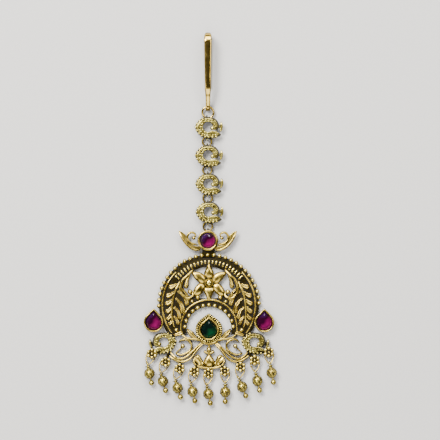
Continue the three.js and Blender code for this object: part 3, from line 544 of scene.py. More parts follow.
def scatter_tree(boxy):
    """Round granules, or bars with soft corners, one on each point. The points carry bulk, the half-sizes,
    and turn, the angle about +Z."""
    tree, inputs = node_tree("soft_bars" if boxy else "granules", {"Metal": "NodeSocketMaterial"})
    if boxy:
        block = add_node(tree, "GeometryNodeMeshCube", {"Size": (2, 2, 2)})
        unit = add_node(tree, "GeometryNodeSubdivisionSurface", {0: block, 1: 2, "Edge Crease": 0.35})
    else:
        unit = add_node(tree, "GeometryNodeMeshUVSphere", {"Segments": 20, "Rings": 10, "Radius": 1.0})
    bulk, turn = (add_node(tree, "GeometryNodeInputNamedAttribute", {"Name": name}, data_type="FLOAT_VECTOR")
                  for name in ("bulk", "turn"))
    spin = add_node(tree, "FunctionNodeEulerToRotation", {0: turn})
    placed = add_node(tree, "GeometryNodeInstanceOnPoints",
                      {"Points": inputs["Geometry"], "Instance": unit, "Rotation": spin, "Scale": bulk})
    end_tree(tree, placed, inputs["Metal"])
    return tree


def flat_wire_tree():
    """A bar with a rounded front and a flat back drawn along each line; the line's radius tapers it."""
    tree, inputs = node_tree("flat_wire", {"Width": "NodeSocketFloat", "Height": "NodeSocketFloat",
                                           "Edge": "NodeSocketFloat", "Metal": "NodeSocketMaterial"})
    upright = add_node(tree, "GeometryNodeSetCurveNormal", {0: inputs["Geometry"]}, mode="Z_UP")
    bar = add_node(tree, "GeometryNodeCurvePrimitiveQuadrilateral",
                   {"Width": inputs["Width"], "Height": inputs["Height"]})
    rounded = add_node(tree, "GeometryNodeFilletCurve", {"Curve": bar, "Radius": inputs["Edge"]}, mode="POLY")
    rounded.inputs["Count"].default_value = 4
    half = add_node(tree, "ShaderNodeMath", {0: inputs["Height"], 1: -0.5}, operation="MULTIPLY")
    lift = add_node(tree, "ShaderNodeCombineXYZ", {"Y": half})
    profile = add_node(tree, "GeometryNodeTransform", {0: rounded, "Translation": lift})
    taper = add_node(tree, "GeometryNodeInputRadius")
    shape = add_node(tree, "GeometryNodeCurveToMesh",
                     {"Curve": upright, "Profile Curve": profile, "Scale": taper, "Fill Caps": True})
    end_tree(tree, shape, inputs["Metal"])
    return tree


def round_wire_tree():
    """Round wire drawn along each line."""
    tree, inputs = node_tree("round_wire", {"Radius": "NodeSocketFloat", "Metal": "NodeSocketMaterial"})
    profile = add_node(tree, "GeometryNodeCurvePrimitiveCircle",
                       {"Resolution": 12, "Radius": inputs["Radius"]})
    shape = add_node(tree, "GeometryNodeCurveToMesh",
                     {"Curve": inputs["Geometry"], "Profile Curve": profile, "Fill Caps": True})
    end_tree(tree, shape, inputs["Metal"])
    return tree


granule_tree = scatter_tree(False)
bar_tree = scatter_tree(True)
wire_tree = flat_wire_tree()
round_tree = round_wire_tree()


def grown(thing, tree, **sizes):
    """Runs a tree on an object and returns the plain mesh. The sizes go in by each socket's identifier."""
    modifier = thing.modifiers.new("grow", "NODES")
    modifier.node_group = tree
    for item in tree.interface.items_tree:
        if item.item_type == "SOCKET" and item.in_out == "INPUT" and item.name in sizes:
            modifier[item.identifier] = sizes[item.name]
    mesh = evaluated(thing)
    tidy(mesh)
    return mesh


def scattered(rows, metal, boxy=False):
    """Granules or bars from rows of x, y, z, half-sizes and turn, in millimetres and degrees."""
    mesh = bpy.data.meshes.new("points")
    mesh.from_pydata([[c * MM for c in row[:3]] for row in rows], [], [])
    bulk = mesh.attributes.new("bulk", "FLOAT_VECTOR", "POINT")
    turn = mesh.attributes.new("turn", "FLOAT_VECTOR", "POINT")
    for i, (*_, sizes, angle) in enumerate(rows):
        bulk.data[i].vector = [size * MM for size in sizes]
        turn.data[i].vector = (0, 0, math.radians(angle))
    return grown(bpy.data.objects.new("points", mesh), bar_tree if boxy else granule_tree, Metal=metal)


def line_object(lines, closed, end=1.0):
    """Lines of points in millimetres as one curve object, thinned to a share of their size at both ends."""
    data = bpy.data.curves.new("lines", "CURVE")
    data.dimensions = "3D"
    for line in lines:
        spline = data.splines.new("POLY")
        spline.points.add(len(line) - 1)
        t = np.linspace(0, 1, len(line))
        sizes = end + (1 - end) * np.clip(np.minimum(t, 1 - t) / TAPER_SHARE, 0, 1) ** 0.7
        for point, place, size in zip(spline.points, line, sizes):
            point.co = (*(c * MM for c in place), 1)
            point.radius = size
        spline.use_cyclic_u = closed
    return bpy.data.objects.new("lines", data)


def flat_wires(lines, metal, z0=0.0, z1=RELIEF_TOP, width=WIRE_W * 0.98, closed=False, taper=0.6, edge=0.4):
    """Flat-backed wires from z0 to z1 along lines in the plane; open ones taper at their ends."""
    lines = [[(x, y, z0) for x, y in line] for line in lines]
    return grown(line_object(lines, closed, 1.0 if closed else taper), wire_tree,
                 Width=width * MM, Height=(z1 - z0) * MM, Edge=width * edge * MM, Metal=metal)


def round_wires(lines, metal, radius, closed=True):
    """Round wires along lines in space."""
    return grown(line_object(lines, closed), round_tree, Radius=radius * MM, Metal=metal)


# Finishing a piece


def piece(name, mesh, metal, nodes=None):
    """Makes the mesh a piece of the jewel: its material and the solids it stands for, which are the one of
    its own name where none is given."""
    nodes = nodes or [name]
    mesh.name = name
    mesh.materials.clear()
    mesh.materials.append(metal)
    made = bpy.data.objects.new(name, mesh)
    bpy.context.scene.collection.objects.link(made)
    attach(made, "root")
    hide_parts(*nodes)


# The pendant, its tables and then its pieces

# the flower's petals, each a closed outline round its dome
LEFT_PETALS = [
    [(-0.34, 0.652), (-0.23, 0.662), (-0.12, 0.62), (-0.055, 0.51), (-0.09, 0.435), (-0.18, 0.435),
     (-0.265, 0.5), (-0.32, 0.58)],
    [(-0.09, 0.41), (-0.19, 0.43), (-0.28, 0.35), (-0.325, 0.235), (-0.28, 0.18), (-0.17, 0.205),
     (-0.085, 0.31)],
]
PETALS = [
    [(0.0, 0.84), (-0.045, 0.75), (-0.095, 0.65), (-0.085, 0.56), (0.0, 0.525), (0.085, 0.56), (0.095, 0.65),
     (0.045, 0.75)],
    *LEFT_PETALS,
    *(mirrored(petal) for petal in LEFT_PETALS),
    [(0.0, 0.355), (-0.09, 0.345), (-0.105, 0.28), (-0.065, 0.19), (-0.026, 0.09), (0.026, 0.09),
     (0.065, 0.19), (0.105, 0.28), (0.09, 0.345)],
]
SCROLL = [(-0.315, 0.71), (-0.428, 0.59), (-0.524, 0.498), (-0.568, 0.356), (-0.55, 0.222),
          (-0.448, 0.13), (-0.35, 0.162), (-0.32, 0.226), (-0.376, 0.264)]
# leaves from here on: tail x, y, tip x, y, tip radius, tail radius, bend
SCROLL_LEAF = (-0.385, 0.6, -0.445, 0.38, 0.05, 0.015, -0.08)
FLOWER_WINDOW = [(0.0, 0.765), (-0.15, 0.745), (-0.3, 0.68), (-0.42, 0.56), (-0.5, 0.44), (-0.525, 0.33),
                 (-0.49, 0.22), (-0.4, 0.155), (-0.3, 0.15), (-0.15, 0.135), (0.0, 0.12)]
# balls: x, y, radius; those of one side, then those of the middle
SIDE_BALLS = [(-0.376, 0.264, 0.05), (-0.224, 0.15, 0.046), (-0.336, 0.072, 0.035), (-0.652, -0.5, 0.042),
              (-0.524, -0.82, 0.046), (-0.13, -1.165, 0.034), (-0.19, -1.185, 0.03)]
MIDDLE_BALLS = [(0.0, 0.442, 0.095), (0.0, -0.884, 0.05)]
SPINE = [(-0.575, 0.49), (-0.616, 0.398), (-0.672, 0.274), (-0.722, 0.09),
         (-0.738, -0.09), (-0.734, -0.27), (-0.69, -0.45)]
PLUME = [
    (-0.65, 0.42, -0.76, 0.372, 0.055, 0.02, 0.14), (-0.7, 0.262, -0.815, 0.2, 0.055, 0.02, 0.14),
    (-0.735, 0.11, -0.835, 0.044, 0.055, 0.02, 0.14), (-0.755, -0.03, -0.83, -0.115, 0.052, 0.02, 0.14),
    (-0.76, -0.18, -0.825, -0.262, 0.046, 0.02, 0.14), (-0.74, -0.31, -0.785, -0.37, 0.04, 0.02, 0.1),
    (-0.625, 0.27, -0.45, 0.02, 0.05, 0.022, 0.16), (-0.6, 0.36, -0.41, 0.1, 0.032, 0.02, 0.12),
    (-0.665, 0.13, -0.535, -0.13, 0.056, 0.022, 0.16), (-0.7, -0.05, -0.6, -0.25, 0.048, 0.022, 0.16),
    (-0.7, -0.235, -0.63, -0.37, 0.04, 0.022, 0.16), (-0.678, -0.6, -0.56, -0.555, 0.045, 0.03, 0.0),
]
ARCH_Y, ARCH_WIRE_R, ARCH_GRANULE_Y, ARCH_GRANULE_RING, ARCH_WINDOW_R = -0.454, 0.56, -0.484, 0.484, 0.45
BORDER_WIRE_R = 0.928
PLATE_FOOT = (0.484, -0.584)
# the ribbed band: where it starts and how far it goes, in degrees, and its outer edge
RIB_BAND = (41, 98)
RIB_OUTER_R = 0.862 + 0.035
SIDE_STONE_Y = -0.345 * DISC_R
SIDE_CUP_SEAT = 0.53
SIDE_STONE_X = math.sqrt(DISC_R**2 - SIDE_STONE_Y**2) + SIDE_CUP[0] - SIDE_CUP_SEAT
CENTRE_STONE_Y = -0.5
# the green stone's stem on the left, and the lotus neck
STEM_ENDS = [(-0.57, -0.56), (-0.44, -0.66)]
NECK_ENDS = [(0.0, -0.9), (0.0, -1.05)]
BUD = [(-0.2, -0.715), (-0.3, -0.625), (-0.385, -0.54), (-0.435, -0.475)]
# half-widths of the bud in millimetres, each at a share of its length
BUD_WIDTHS = [(0, 0.4), (0.3, 0.55), (0.62, 0.92), (0.85, 0.55), (1, 0.03)]
SPIRAL = [(-0.6, -0.745), (-0.545, -0.695), (-0.452, -0.69), (-0.378, -0.742), (-0.343, -0.83),
          (-0.39, -0.915), (-0.478, -0.968), (-0.574, -0.992), (-0.665, -0.965)]
BALL_STALK = [(-0.524, -0.82), (-0.6, -0.9), (-0.66, -0.955)]
SWEEPS = [
    [(-0.118, -0.735), (-0.225, -0.825), (-0.326, -0.922), (-0.428, -1.018), (-0.542, -1.068),
     (-0.638, -1.068), (-0.72, -1.0), (-0.78, -0.93)],
    [(-0.093, -0.745), (-0.19, -0.845), (-0.274, -0.946), (-0.364, -1.062), (-0.478, -1.12),
     (-0.574, -1.132), (-0.66, -1.106), (-0.76, -1.04), (-0.84, -0.96)],
]
# the lotus: its rim, its side lobe, its heart and the small leaf at its neck
LOTUS_RIM = [(-0.206, -1.0), (-0.28, -1.064), (-0.3, -1.15), (-0.225, -1.224), (0.0, -1.262)]
LOTUS_LOBE = (-0.13, -1.2, -0.23, -1.08, 0.08, 0.035, 0.0)
LOTUS_HEART = [(0.0, -0.985), (0.055, -1.03), (0.1, -1.1), (0.104, -1.165), (0.07, -1.215), (0.0, -1.235),
               (-0.07, -1.215), (-0.104, -1.165), (-0.1, -1.1), (-0.055, -1.03)]
LOTUS_NECK_LEAF = (-0.015, -0.965, -0.078, -0.935, 0.032, 0.018, 0.0)
# the left lower crescent: x, y, lean in degrees and height
LOWER_CRESCENT = (-0.885, -0.755, 8.0, 0.415)
DROPS = [
    # rosette's x, y, lean of the ring, lean of the bead, root x, root y
    (-1.138, -0.97, -22, 12, -0.966, -0.926), (-0.866, -1.134, -26, 16, -0.8, -0.97),
    (-0.584, -1.264, -24, 17, -0.574, -1.13), (-0.292, -1.328, -20, 14, -0.25, -1.2),
    (-0.01, -1.362, -10, 12, 0.0, -1.25), (0.316, -1.318, 2, 0, 0.25, -1.2),
    (0.63, -1.232, -9, 22, 0.574, -1.13), (0.912, -1.1, 3, 13, 0.8, -0.97),
    (1.194, -0.938, 5, 11, 0.966, -0.926),
]
# the crown, in shares of its cup's radius about the cup's centre
WING_BLADE = [(-2.82, 0.92), (-2.48, 0.13), (-1.94, -0.56), (-1.36, -0.91), (-0.8, -1.0), (-0.7, -0.6),
              (-1.3, -0.5), (-1.74, -0.2), (-2.02, 0.2), (-2.2, 0.62)]
WING_EDGE = [(-2.78, 0.88), (-2.42, 0.12), (-1.9, -0.52), (-1.34, -0.86), (-0.75, -0.95)]
WING_SCROLL = [(-0.95, -0.45), (-1.72, -0.2), (-1.98, 0.24), (-1.86, 0.64), (-1.54, 0.78), (-1.22, 0.62),
               (-1.22, 0.32)]
WING_BALL, WING_BALL_R = (-1.36, 0.24), 0.17
# the crown's foot, in millimetres: the round boss behind its cup and the solder joint to the disc
CROWN_BOSS_R = 2.2
CROWN_JOINT = [(-2.3, 15.9), (1.9, 15.9), (1.8, 19.2), (-2.2, 19.2)]
CROWN_JOINT_TOP = 1.9
# the crescents, in shares of their height
CRESCENT_EDGE = [
    (-0.577, 0.019), (-0.38, 0.341), (-0.16, 0.47), (0.06, 0.5), (0.28, 0.475), (0.46, 0.375),
    (0.57, 0.17), (0.56, 0.0), (0.5, -0.115), (0.52, -0.225), (0.683, -0.346), (0.44, -0.48),
    (0.06, -0.5), (-0.18, -0.455), (-0.4, -0.31),
]
CRESCENT_HOLE = (0.045, 0.03, 0.235)
CRESCENT_BALL = (0.26, -0.03, 0.1)
PIT_SIDES = 5
CRESCENT_PITS = [
    # x, y, radius, turn in degrees
    (-0.265, 0.2, 0.032, 60), (-0.36, -0.06, 0.034, 10), (-0.22, -0.26, 0.028, 80), (0.0, -0.338, 0.026, 100),
    (-0.08, 0.338, 0.024, 30), (0.37, 0.2, 0.03, 200), (0.21, 0.328, 0.022, 90), (0.13, -0.335, 0.022, 0),
    (0.27, -0.32, 0.026, 40), (0.4, -0.31, 0.02, 10), (-0.33, 0.08, 0.022, 70), (-0.31, -0.17, 0.018, 30),
    (-0.12, -0.31, 0.018, 50), (-0.18, 0.29, 0.018, 20), (0.06, 0.355, 0.018, 0), (0.42, 0.09, 0.018, 60),
]
SPIKE = [(0.68, 0.27), (0.7, 0.02), (0.63, -0.22)]
SPIKE_WIDTHS = [(0, 0.08), (0.22, 0.46), (0.78, 0.42), (1, 0.05)]
SPIKE_FOOT = [(0.46, 0.1), (0.56, 0.14), (0.7, 0.1), (0.7, -0.02), (0.58, -0.04), (0.46, 0.0)]
# the bars of the milled rim, in millimetres: half-sizes, spacing and how far each leans from square
MILLED_BAR = (CENTRE_RIM_W * 0.62, 0.18, 0.5)
MILLED_PITCH = 0.68
MILLED_TURN = 82
# the rosettes' petals: half-sizes in millimetres, and where they sit on the radius
ROSETTE_PETAL = (0.56, 0.63, 0.42)
PETAL_RING = 0.68


def balls(rows, z0, size=DISC_R):
    """Rows for granules from x, y and radius as shares."""
    return [(x * size, y * size, z0, (r * size,) * 3, 0) for x, y, r in rows]


def both(rows):
    """The rows and their mirror images."""
    return rows + [(-row[0], *row[1:]) for row in rows]


def pendant_plate():
    """The pierced ground with the openings round the flower, in the scrolls and in the arch."""
    edge = arc(0, 0, DISC_R, -38, 218, 120)
    arch = arc(0, DISC_R * ARCH_GRANULE_Y, DISC_R * ARCH_WINDOW_R, 190, -10, 50)
    feet = share([PLATE_FOOT])
    window = share(FLOWER_WINDOW)
    window = smooth(window + mirrored(window)[::-1][1:-1], 90, closed=True)
    return plate([[*edge, *mirrored(feet), *arch, *feet], window], 0, GROUND_TOP)


def granule_rows():
    """The granules of the border and the arch, and the balls among the leaves and scrolls."""
    border = arc(0, 0, DISC_R, 2, 181, GRANULE_COUNT)
    arch = arc(0, DISC_R * ARCH_GRANULE_Y, DISC_R * ARCH_GRANULE_RING, 6, 174, ARCH_GRANULE_COUNT)
    rows = [(x, y, GROUND_TOP + 0.25, (GRANULE_R * 1.06,) * 3, 0) for x, y in border]
    rows += [(x, y, GROUND_TOP + 0.15, (ARCH_GRANULE_R,) * 3, 0) for x, y in arch]
    return rows + balls(both(SIDE_BALLS), GROUND_TOP + 0.3) + balls(MIDDLE_BALLS, GROUND_TOP + 0.35)


def rib_rows():
    """The rods of the band inside the granules, short at the top and longer down the sides."""
    start, sweep = RIB_BAND
    rows = []
    for i in range(RIB_COUNT):
        angle = start + sweep * i / (RIB_COUNT - 1)
        side = abs(angle - 90) / (sweep / 2)
        length = DISC_R * (0.07 + 0.055 * side)
        middle = DISC_R * RIB_OUTER_R - length / 2
        a = math.radians(angle)
        rows.append((middle * math.cos(a), middle * math.sin(a), GROUND_TOP - 0.05,
                     (length / 2 + 0.08, 0.36, 0.9), angle))
    return rows


def paired(tables):
    """Smooth wires from tables of points and point counts, each with its mirror image."""
    lines = []
    for points, count in tables:
        line = smooth(share(points), count)
        lines += [line, mirrored(line)]
    return lines


def thin_wires():
    """The wires along the border, left and right, and over the arch."""
    border = arc(0, 0, DISC_R * BORDER_WIRE_R, 135, 217, 40)
    return [border, mirrored(border), arc(0, DISC_R * ARCH_Y, DISC_R * ARCH_WIRE_R, -10, 190, 70)]


def lower_wires():
    """The spirals and sweeps, the lotus rim, the stem under the green stone and the lotus neck."""
    rim = share(LOTUS_RIM) + mirrored(share(LOTUS_RIM))[::-1][1:]
    ends = share(STEM_ENDS)
    y = CENTRE_STONE_Y * DISC_R
    stem = [*ends, *arc(0, y, CENTRE_RIM[0] + 0.1, 225, 315, 5), *mirrored(ends)[::-1]]
    neck = [(0.0, -CENTRE_RIM[0] + y + 0.4), *share(NECK_ENDS)]
    spirals = paired((points, 46) for points in (SPIRAL, *SWEEPS))
    return spirals + [smooth(rim, 60), smooth(stem, 60), neck]


def cup(outline, z0, z1, wall):
    """A bezel: a wall with a rounded lip along a closed outline, and its floor."""
    return joined([
        flat_wires([outline], cast_gold, z0, z1, wall, closed=True, edge=0.42),
        plate([outline], z0, z0 + CUP_FLOOR, 0.05),
    ])


def milled_rows(outline, z):
    """Small bars side by side across a rim, as milled or twisted wire shows them."""
    around = float(np.linalg.norm(np.roll(outline, -1, axis=0) - outline, axis=1).sum())
    loop = smooth(outline, max(8, round(around / MILLED_PITCH)), closed=True)
    ahead = np.roll(loop, -1, axis=0) - np.roll(loop, 1, axis=0)
    return [(x, y, z, MILLED_BAR, math.degrees(math.atan2(ay, ax)) + MILLED_TURN)
            for (x, y), (ax, ay) in zip(loop, ahead)]


def crescent(height, z0, z1, z_top):
    """The openwork crescent: a pierced plate with a raised, rounded band and a curl that ends in a ball."""
    edge, inner = (crescent_line(height, scale) for scale in (1.0, 0.87))
    pit_end = 360 - 360 / PIT_SIDES
    pits = [arc(x * height, y * height, r * height, turn, turn + pit_end, PIT_SIDES)
            for x, y, r, turn in CRESCENT_PITS]
    return [
        # the lower plate is marked sunk, so the material paints it darker than the raised band
        marked(plate([edge], z0, z1 + 0.1, 0.16), 0.78),
        plate([inner, *pits], z1 - 0.3, z_top, 0.14),
        scattered(balls([CRESCENT_BALL], (z1 + z_top) / 2, height), pitted_gold),
    ]


def crescent_line(height, scale):
    """One closed line: round the outside, in at the lower right, round the hole and out again."""
    outer = share(CRESCENT_EDGE, height * scale)
    x, y, r = (v * height for v in CRESCENT_HOLE)
    r *= 0.98 + 0.7 * (1 - scale)
    return [*smooth(outer[9:] + outer[:9], 64), (x + r * 1.1, y - r * 0.58), *arc(x, y, r, -28, 316, 44)]


def crescent_studs(height, z_top):
    """Studs that roughen the left band of a crescent: scallops at its edge and seeds along the hole."""
    edge = smooth(share(CRESCENT_EDGE, height * 0.93), 40, closed=True)
    left = edge[[*range(0, 8, 2), *range(26, 40, 2)]]
    x, y, r = (v * height for v in CRESCENT_HOLE)
    big, small = height * 0.062, height * 0.042
    studs = [(px, py, z_top - 0.3, (big, big, 0.42), 0) for px, py in left]
    studs += [(px, py, z_top - 0.08, (small, small, 0.18), 0) for px, py in arc(x, y, r * 1.22, 120, 300, 7)]
    return scattered(studs, polished_gold)


def spike(height, z0, z_top):
    """The slim leaf that stands beside a crescent's curl, and the foot that holds it."""
    return [leaf(share(SPIKE, height), SPIKE_WIDTHS, z0, z_top - 0.15),
            plate([share(SPIKE_FOOT, height)], z0, z0 + 0.5, 0.1)]


def rosette_rows(x, y):
    """Six round petals about a centre ball."""
    around = arc(x, y, ROSETTE_R * PETAL_RING, 30, 330, 6)
    petals = [(px, py, rosette_z + 0.42, ROSETTE_PETAL, 30 + 60 * i) for i, (px, py) in enumerate(around)]
    return petals + [(x, y, rosette_z + 0.55, (0.42,) * 3, 0)]


# how steeply the rings lean on the balls, and the heights of the rosettes and of their roots
drop_slope = math.asin((BALL_R - DROP_LOOP_Z) / DROP_RING[1])
rosette_z = DROP_LOOP_Z + (BALL_R - DROP_LOOP_Z) * (DROP_SET + ROSETTE_R) / DROP_RING[1] + DROP_WIRE_R + 0.3
root_z = DROP_LOOP_Z + DROP_WIRE_R + 0.3


def staple(x, y, hole_r, wire_r, z_top, lean=0.0):
    """The line of a soldered loop behind a plate's edge."""
    r = hole_r + wire_r
    z = hole_r + 2 * wire_r
    a = math.radians(lean)
    points = [(r, z_top), *[(r * math.cos(t), z + r * math.sin(t)) for t in np.linspace(0, -math.pi, 16)],
              (-r, z_top)]
    return [(x - math.sin(a) * u, y + math.cos(a) * u, v) for u, v in points]


def make_pendant():
    """The pendant: its ground, wires, leaves, crescents, cups, milled rim, crown and rosettes."""
    nodes = ["pendant"]
    piece("pendant_plate", pendant_plate(), oxide_and_shade_gold, nodes)
    piece("pendant_granules", scattered(granule_rows(), polished_gold), polished_gold, nodes)
    piece("pendant_ribs", scattered(rib_rows(), polished_gold, boxy=True), polished_gold, nodes)
    stalk = share(BALL_STALK)
    stalks = flat_wires([stalk, mirrored(stalk)], cast_gold, 0, GROUND_TOP, WIRE_W * 0.6)
    piece("ball_stalks", stalks, cast_gold, nodes)
    piece("pendant_wires", joined([
        flat_wires(paired([(SCROLL, 60)]), cast_gold, 0, RELIEF_TOP + 0.35, WIRE_W * 1.15),
        flat_wires(paired([(SPINE, 40)]) + lower_wires(), cast_gold),
        flat_wires(thin_wires(), cast_gold, GROUND_TOP / 2, RELIEF_TOP, WIRE_W * 0.82),
    ]), cast_gold, nodes)
    leaves = [bulb(SCROLL_LEAF), bulb(LOTUS_LOBE, groove=0.5), bulb(LOTUS_NECK_LEAF),
              leaf(share(BUD), BUD_WIDTHS, 0, RELIEF_TOP + 0.3, 0.5),
              *(bulb(row, RELIEF_TOP + 0.1, 0.5) for row in PLUME)]
    leaves += [flipped(mesh) for mesh in leaves]
    leaves += [cushion(share(petal), RELIEF_TOP + 0.3) for petal in PETALS]
    leaves.append(cushion(share(LOTUS_HEART), RELIEF_TOP + 0.4))
    piece("pendant_leaves", joined(leaves), cast_gold, nodes)
    x, y, lean, size = LOWER_CRESCENT
    size *= DISC_R
    left = joined([*crescent(size, 0, GROUND_TOP, RELIEF_TOP), crescent_studs(size, RELIEF_TOP),
                   *spike(size, 0, RELIEF_TOP)])
    left = moved(flipped(left), x * DISC_R, y * DISC_R, 0, lean)
    piece("pendant_crescents", joined([left, flipped(left)]), pitted_gold, nodes)
    side = pear(-SIDE_STONE_X, SIDE_STONE_Y, *SIDE_CUP, CUP_WALL / 2)
    centre = pear(0, CENTRE_STONE_Y * DISC_R, *CENTRE_CUP, CUP_WALL / 2)
    cups = [cup(outline, 0, CUP_TOP, CUP_WALL) for outline in (side, mirrored(side), centre)]
    piece("stone_cups", joined(cups), cast_gold, nodes)
    rim = pear(0, CENTRE_STONE_Y * DISC_R, *CENTRE_RIM, CENTRE_RIM_W / 2)
    # the bed under the milled bars is near black: oxide and painted shade in the gaps
    bed = flat_wires([rim], oxide_and_shade_gold, 0, RELIEF_TOP - 0.6, CENTRE_RIM_W, closed=True, edge=0.3)
    piece("milled_rim_bed", bed, oxide_and_shade_gold, nodes)
    bars = scattered(milled_rows(rim, RELIEF_TOP - 0.35), polished_gold, boxy=True)
    piece("milled_rim", bars, polished_gold, nodes)
    make_crown(nodes)
    make_rosettes(nodes)


def make_crown(nodes):
    """The crown: a round cup on a boss, with a grooved blade and a scroll on each side."""
    parts, blades = [], []
    at = (CROWN_X, CROWN_Y)
    z_wire = CHAIN_Z + 1.12
    for turn in (list, mirrored):
        blade, edge, scroll, ball = (share(turn(points), CROWN_R, at)
                                     for points in (WING_BLADE, WING_EDGE, WING_SCROLL, [WING_BALL]))
        blades.append(plate([smooth(blade, 60, closed=True)], CHAIN_Z, CHAIN_Z + 0.64, 0.14))
        lines = [smooth(edge, 40), smooth(scroll, 50)]
        parts.append(flat_wires(lines, polished_gold, CHAIN_Z, z_wire, WIRE_W * 1.08, taper=0.45))
        parts.append(scattered([(*ball[0], z_wire - 0.3, (WING_BALL_R * CROWN_R,) * 3, 0)], cast_gold))
    parts.append(cup(ring_line(*at, CROWN_R - CROWN_WALL / 2, 64), CHAIN_Z, CROWN_TOP, CROWN_WALL))
    parts.append(plate([ring_line(*at, CROWN_BOSS_R, 40)], 0, CHAIN_Z + 0.4, 0.1))
    piece("solder_joint", plate([CROWN_JOINT], 0.05, CROWN_JOINT_TOP, 0.2), oxide_and_shade_gold, nodes)
    loop = staple(CROWN_X, CROWN_Y + CROWN_R - LOOP_SET, LOOP_HOLE_R, LOOP_WIRE_R, CHAIN_Z + 0.4)
    parts.append(round_wires([loop], cast_gold, LOOP_WIRE_R, closed=False))
    piece("crown", joined(parts), cast_gold, nodes)
    piece("crown_blades", joined(blades), cast_gold, nodes)


def make_rosettes(nodes):
    """The nine rosettes, their notched backs, the loops for the rings and the roots to the wires above."""
    petals, backs, loops, roots = [], [], [], []
    around = turns(48)
    radii = ROSETTE_R * (0.9 - 0.07 * np.cos(6 * around))
    for sx, sy, ring_lean, _, root_x, root_y in DROPS:
        (x, y), (end_x, end_y) = share([(sx, sy), (root_x, root_y)])
        petals += rosette_rows(x, y)
        notched = np.column_stack([x + radii * np.cos(around), y + radii * np.sin(around)])
        backs.append(plate([notched], rosette_z, rosette_z + 0.4, 0.1))
        lean = math.radians(ring_lean)
        loops.append(staple(x - DROP_SET * math.sin(lean), y + DROP_SET * math.cos(lean),
                            DROP_LOOP_HOLE_R, DROP_LOOP_WIRE_R, rosette_z + 0.3, ring_lean))
        roots.append([(x, y), ((x + end_x) / 2, (y + end_y) / 2), (end_x, end_y)])
    piece("rosettes", scattered(petals, polished_gold), polished_gold, nodes)
    # painted shade: the backs, loops and roots under the rosettes are near black
    piece("rosette_backs", joined([
        *backs, round_wires(loops, oxide_and_shade_gold, DROP_LOOP_WIRE_R, closed=False),
        flat_wires(roots, oxide_and_shade_gold, root_z, rosette_z + 0.3, WIRE_W * 1.2, taper=1.0),
    ]), oxide_and_shade_gold, nodes)


# The stones


def stone(name, outline, centre, z_cup, z_lip, glass):
    """A cut stone: a flat table, star and crown facets, a girdle and a pavilion, all flat faces."""
    outline, centre = np.asarray(outline), np.asarray(centre)
    middle = (outline + np.roll(outline, -1, axis=0)) / 2
    z_foot, z_girdle, z_table = z_cup + CUP_FLOOR + STONE_FOOT, z_lip - STONE_SUNK, z_lip + STONE_PROUD
    rise = z_table - z_girdle
    # the corners in rings from the foot up: which line, its share of the full width, its height
    rings = [
        (outline, 0.5, z_foot), (middle, 0.8, (z_foot + z_girdle) / 2),
        (outline, 1.0, z_girdle), (outline, 1.0, z_girdle + rise * 0.18),
        (middle, 0.84, z_girdle + rise * 0.66), (outline, 0.6, z_table),
    ]
    work = bmesh.new()
    for line, scale, z in rings:
        for p in line:
            work.verts.new([c * MM for c in (*(centre + (p - centre) * scale), z)])
    hull = bmesh.ops.convex_hull(work, input=work.verts)
    inside = {v for v in hull["geom_interior"] + hull["geom_unused"] if isinstance(v, bmesh.types.BMVert)}
    bmesh.ops.delete(work, geom=list(inside), context="VERTS")
    bmesh.ops.recalc_face_normals(work, faces=work.faces)
    bmesh.ops.dissolve_limit(work, angle_limit=math.radians(1), verts=work.verts, edges=work.edges)
    mesh = bpy.data.meshes.new(name)
    work.to_mesh(mesh)
    work.free()
    # painted glow: light painted in the foil's colour, growing towards the lower right
    reach = np.linalg.norm(outline - centre, axis=1).max()
    painted_glow = mesh.attributes.new("painted_glow", "FLOAT", "POINT")
    for vertex, value in zip(mesh.vertices, painted_glow.data):
        x, y, _ = np.array(vertex.co) / MM
        value.value = 0.5 + 0.5 * float(np.dot((x - centre[0], y - centre[1]), (0.62, -0.78))) / reach
    piece(name, mesh, glass)


def make_stones():
    """The four stones, each clear of its cup all round and below."""
    inset = CUP_WALL + STONE_GAP
    for name, x, y, size, glass, slot in (
        ("stone_left", -SIDE_STONE_X, SIDE_STONE_Y, SIDE_CUP, pink_stone, "pink_glass"),
        ("stone_right", SIDE_STONE_X, SIDE_STONE_Y, SIDE_CUP, pink_stone, "pink_glass"),
        ("stone_centre", 0.0, CENTRE_STONE_Y * DISC_R, CENTRE_CUP, green_stone, "green_glass"),
    ):
        stone(name, pear(x, y, *size, inset, 10), (x, y), 0.0, CUP_TOP, glass)
    outline = ring_line(CROWN_X, CROWN_Y, CROWN_R - CROWN_WALL - STONE_GAP, 12)
    stone("stone_crown", outline, (CROWN_X, CROWN_Y), CHAIN_Z, CROWN_TOP, pink_stone)


# The chain and the hook

crown_edge = CROWN_Y + CROWN_R
motif_y = [crown_edge + LINK_GAP * (i + 1) + CRESCENT_H * (i + 0.5) for i in range(4)][::-1]
hook_ring_y = motif_y[0] + CRESCENT_H / 2 - LOOP_SET + HOOK_RING_R
eye_y = hook_ring_y + HOOK_RING_R
hook_x = CHAIN_X[0] / 2


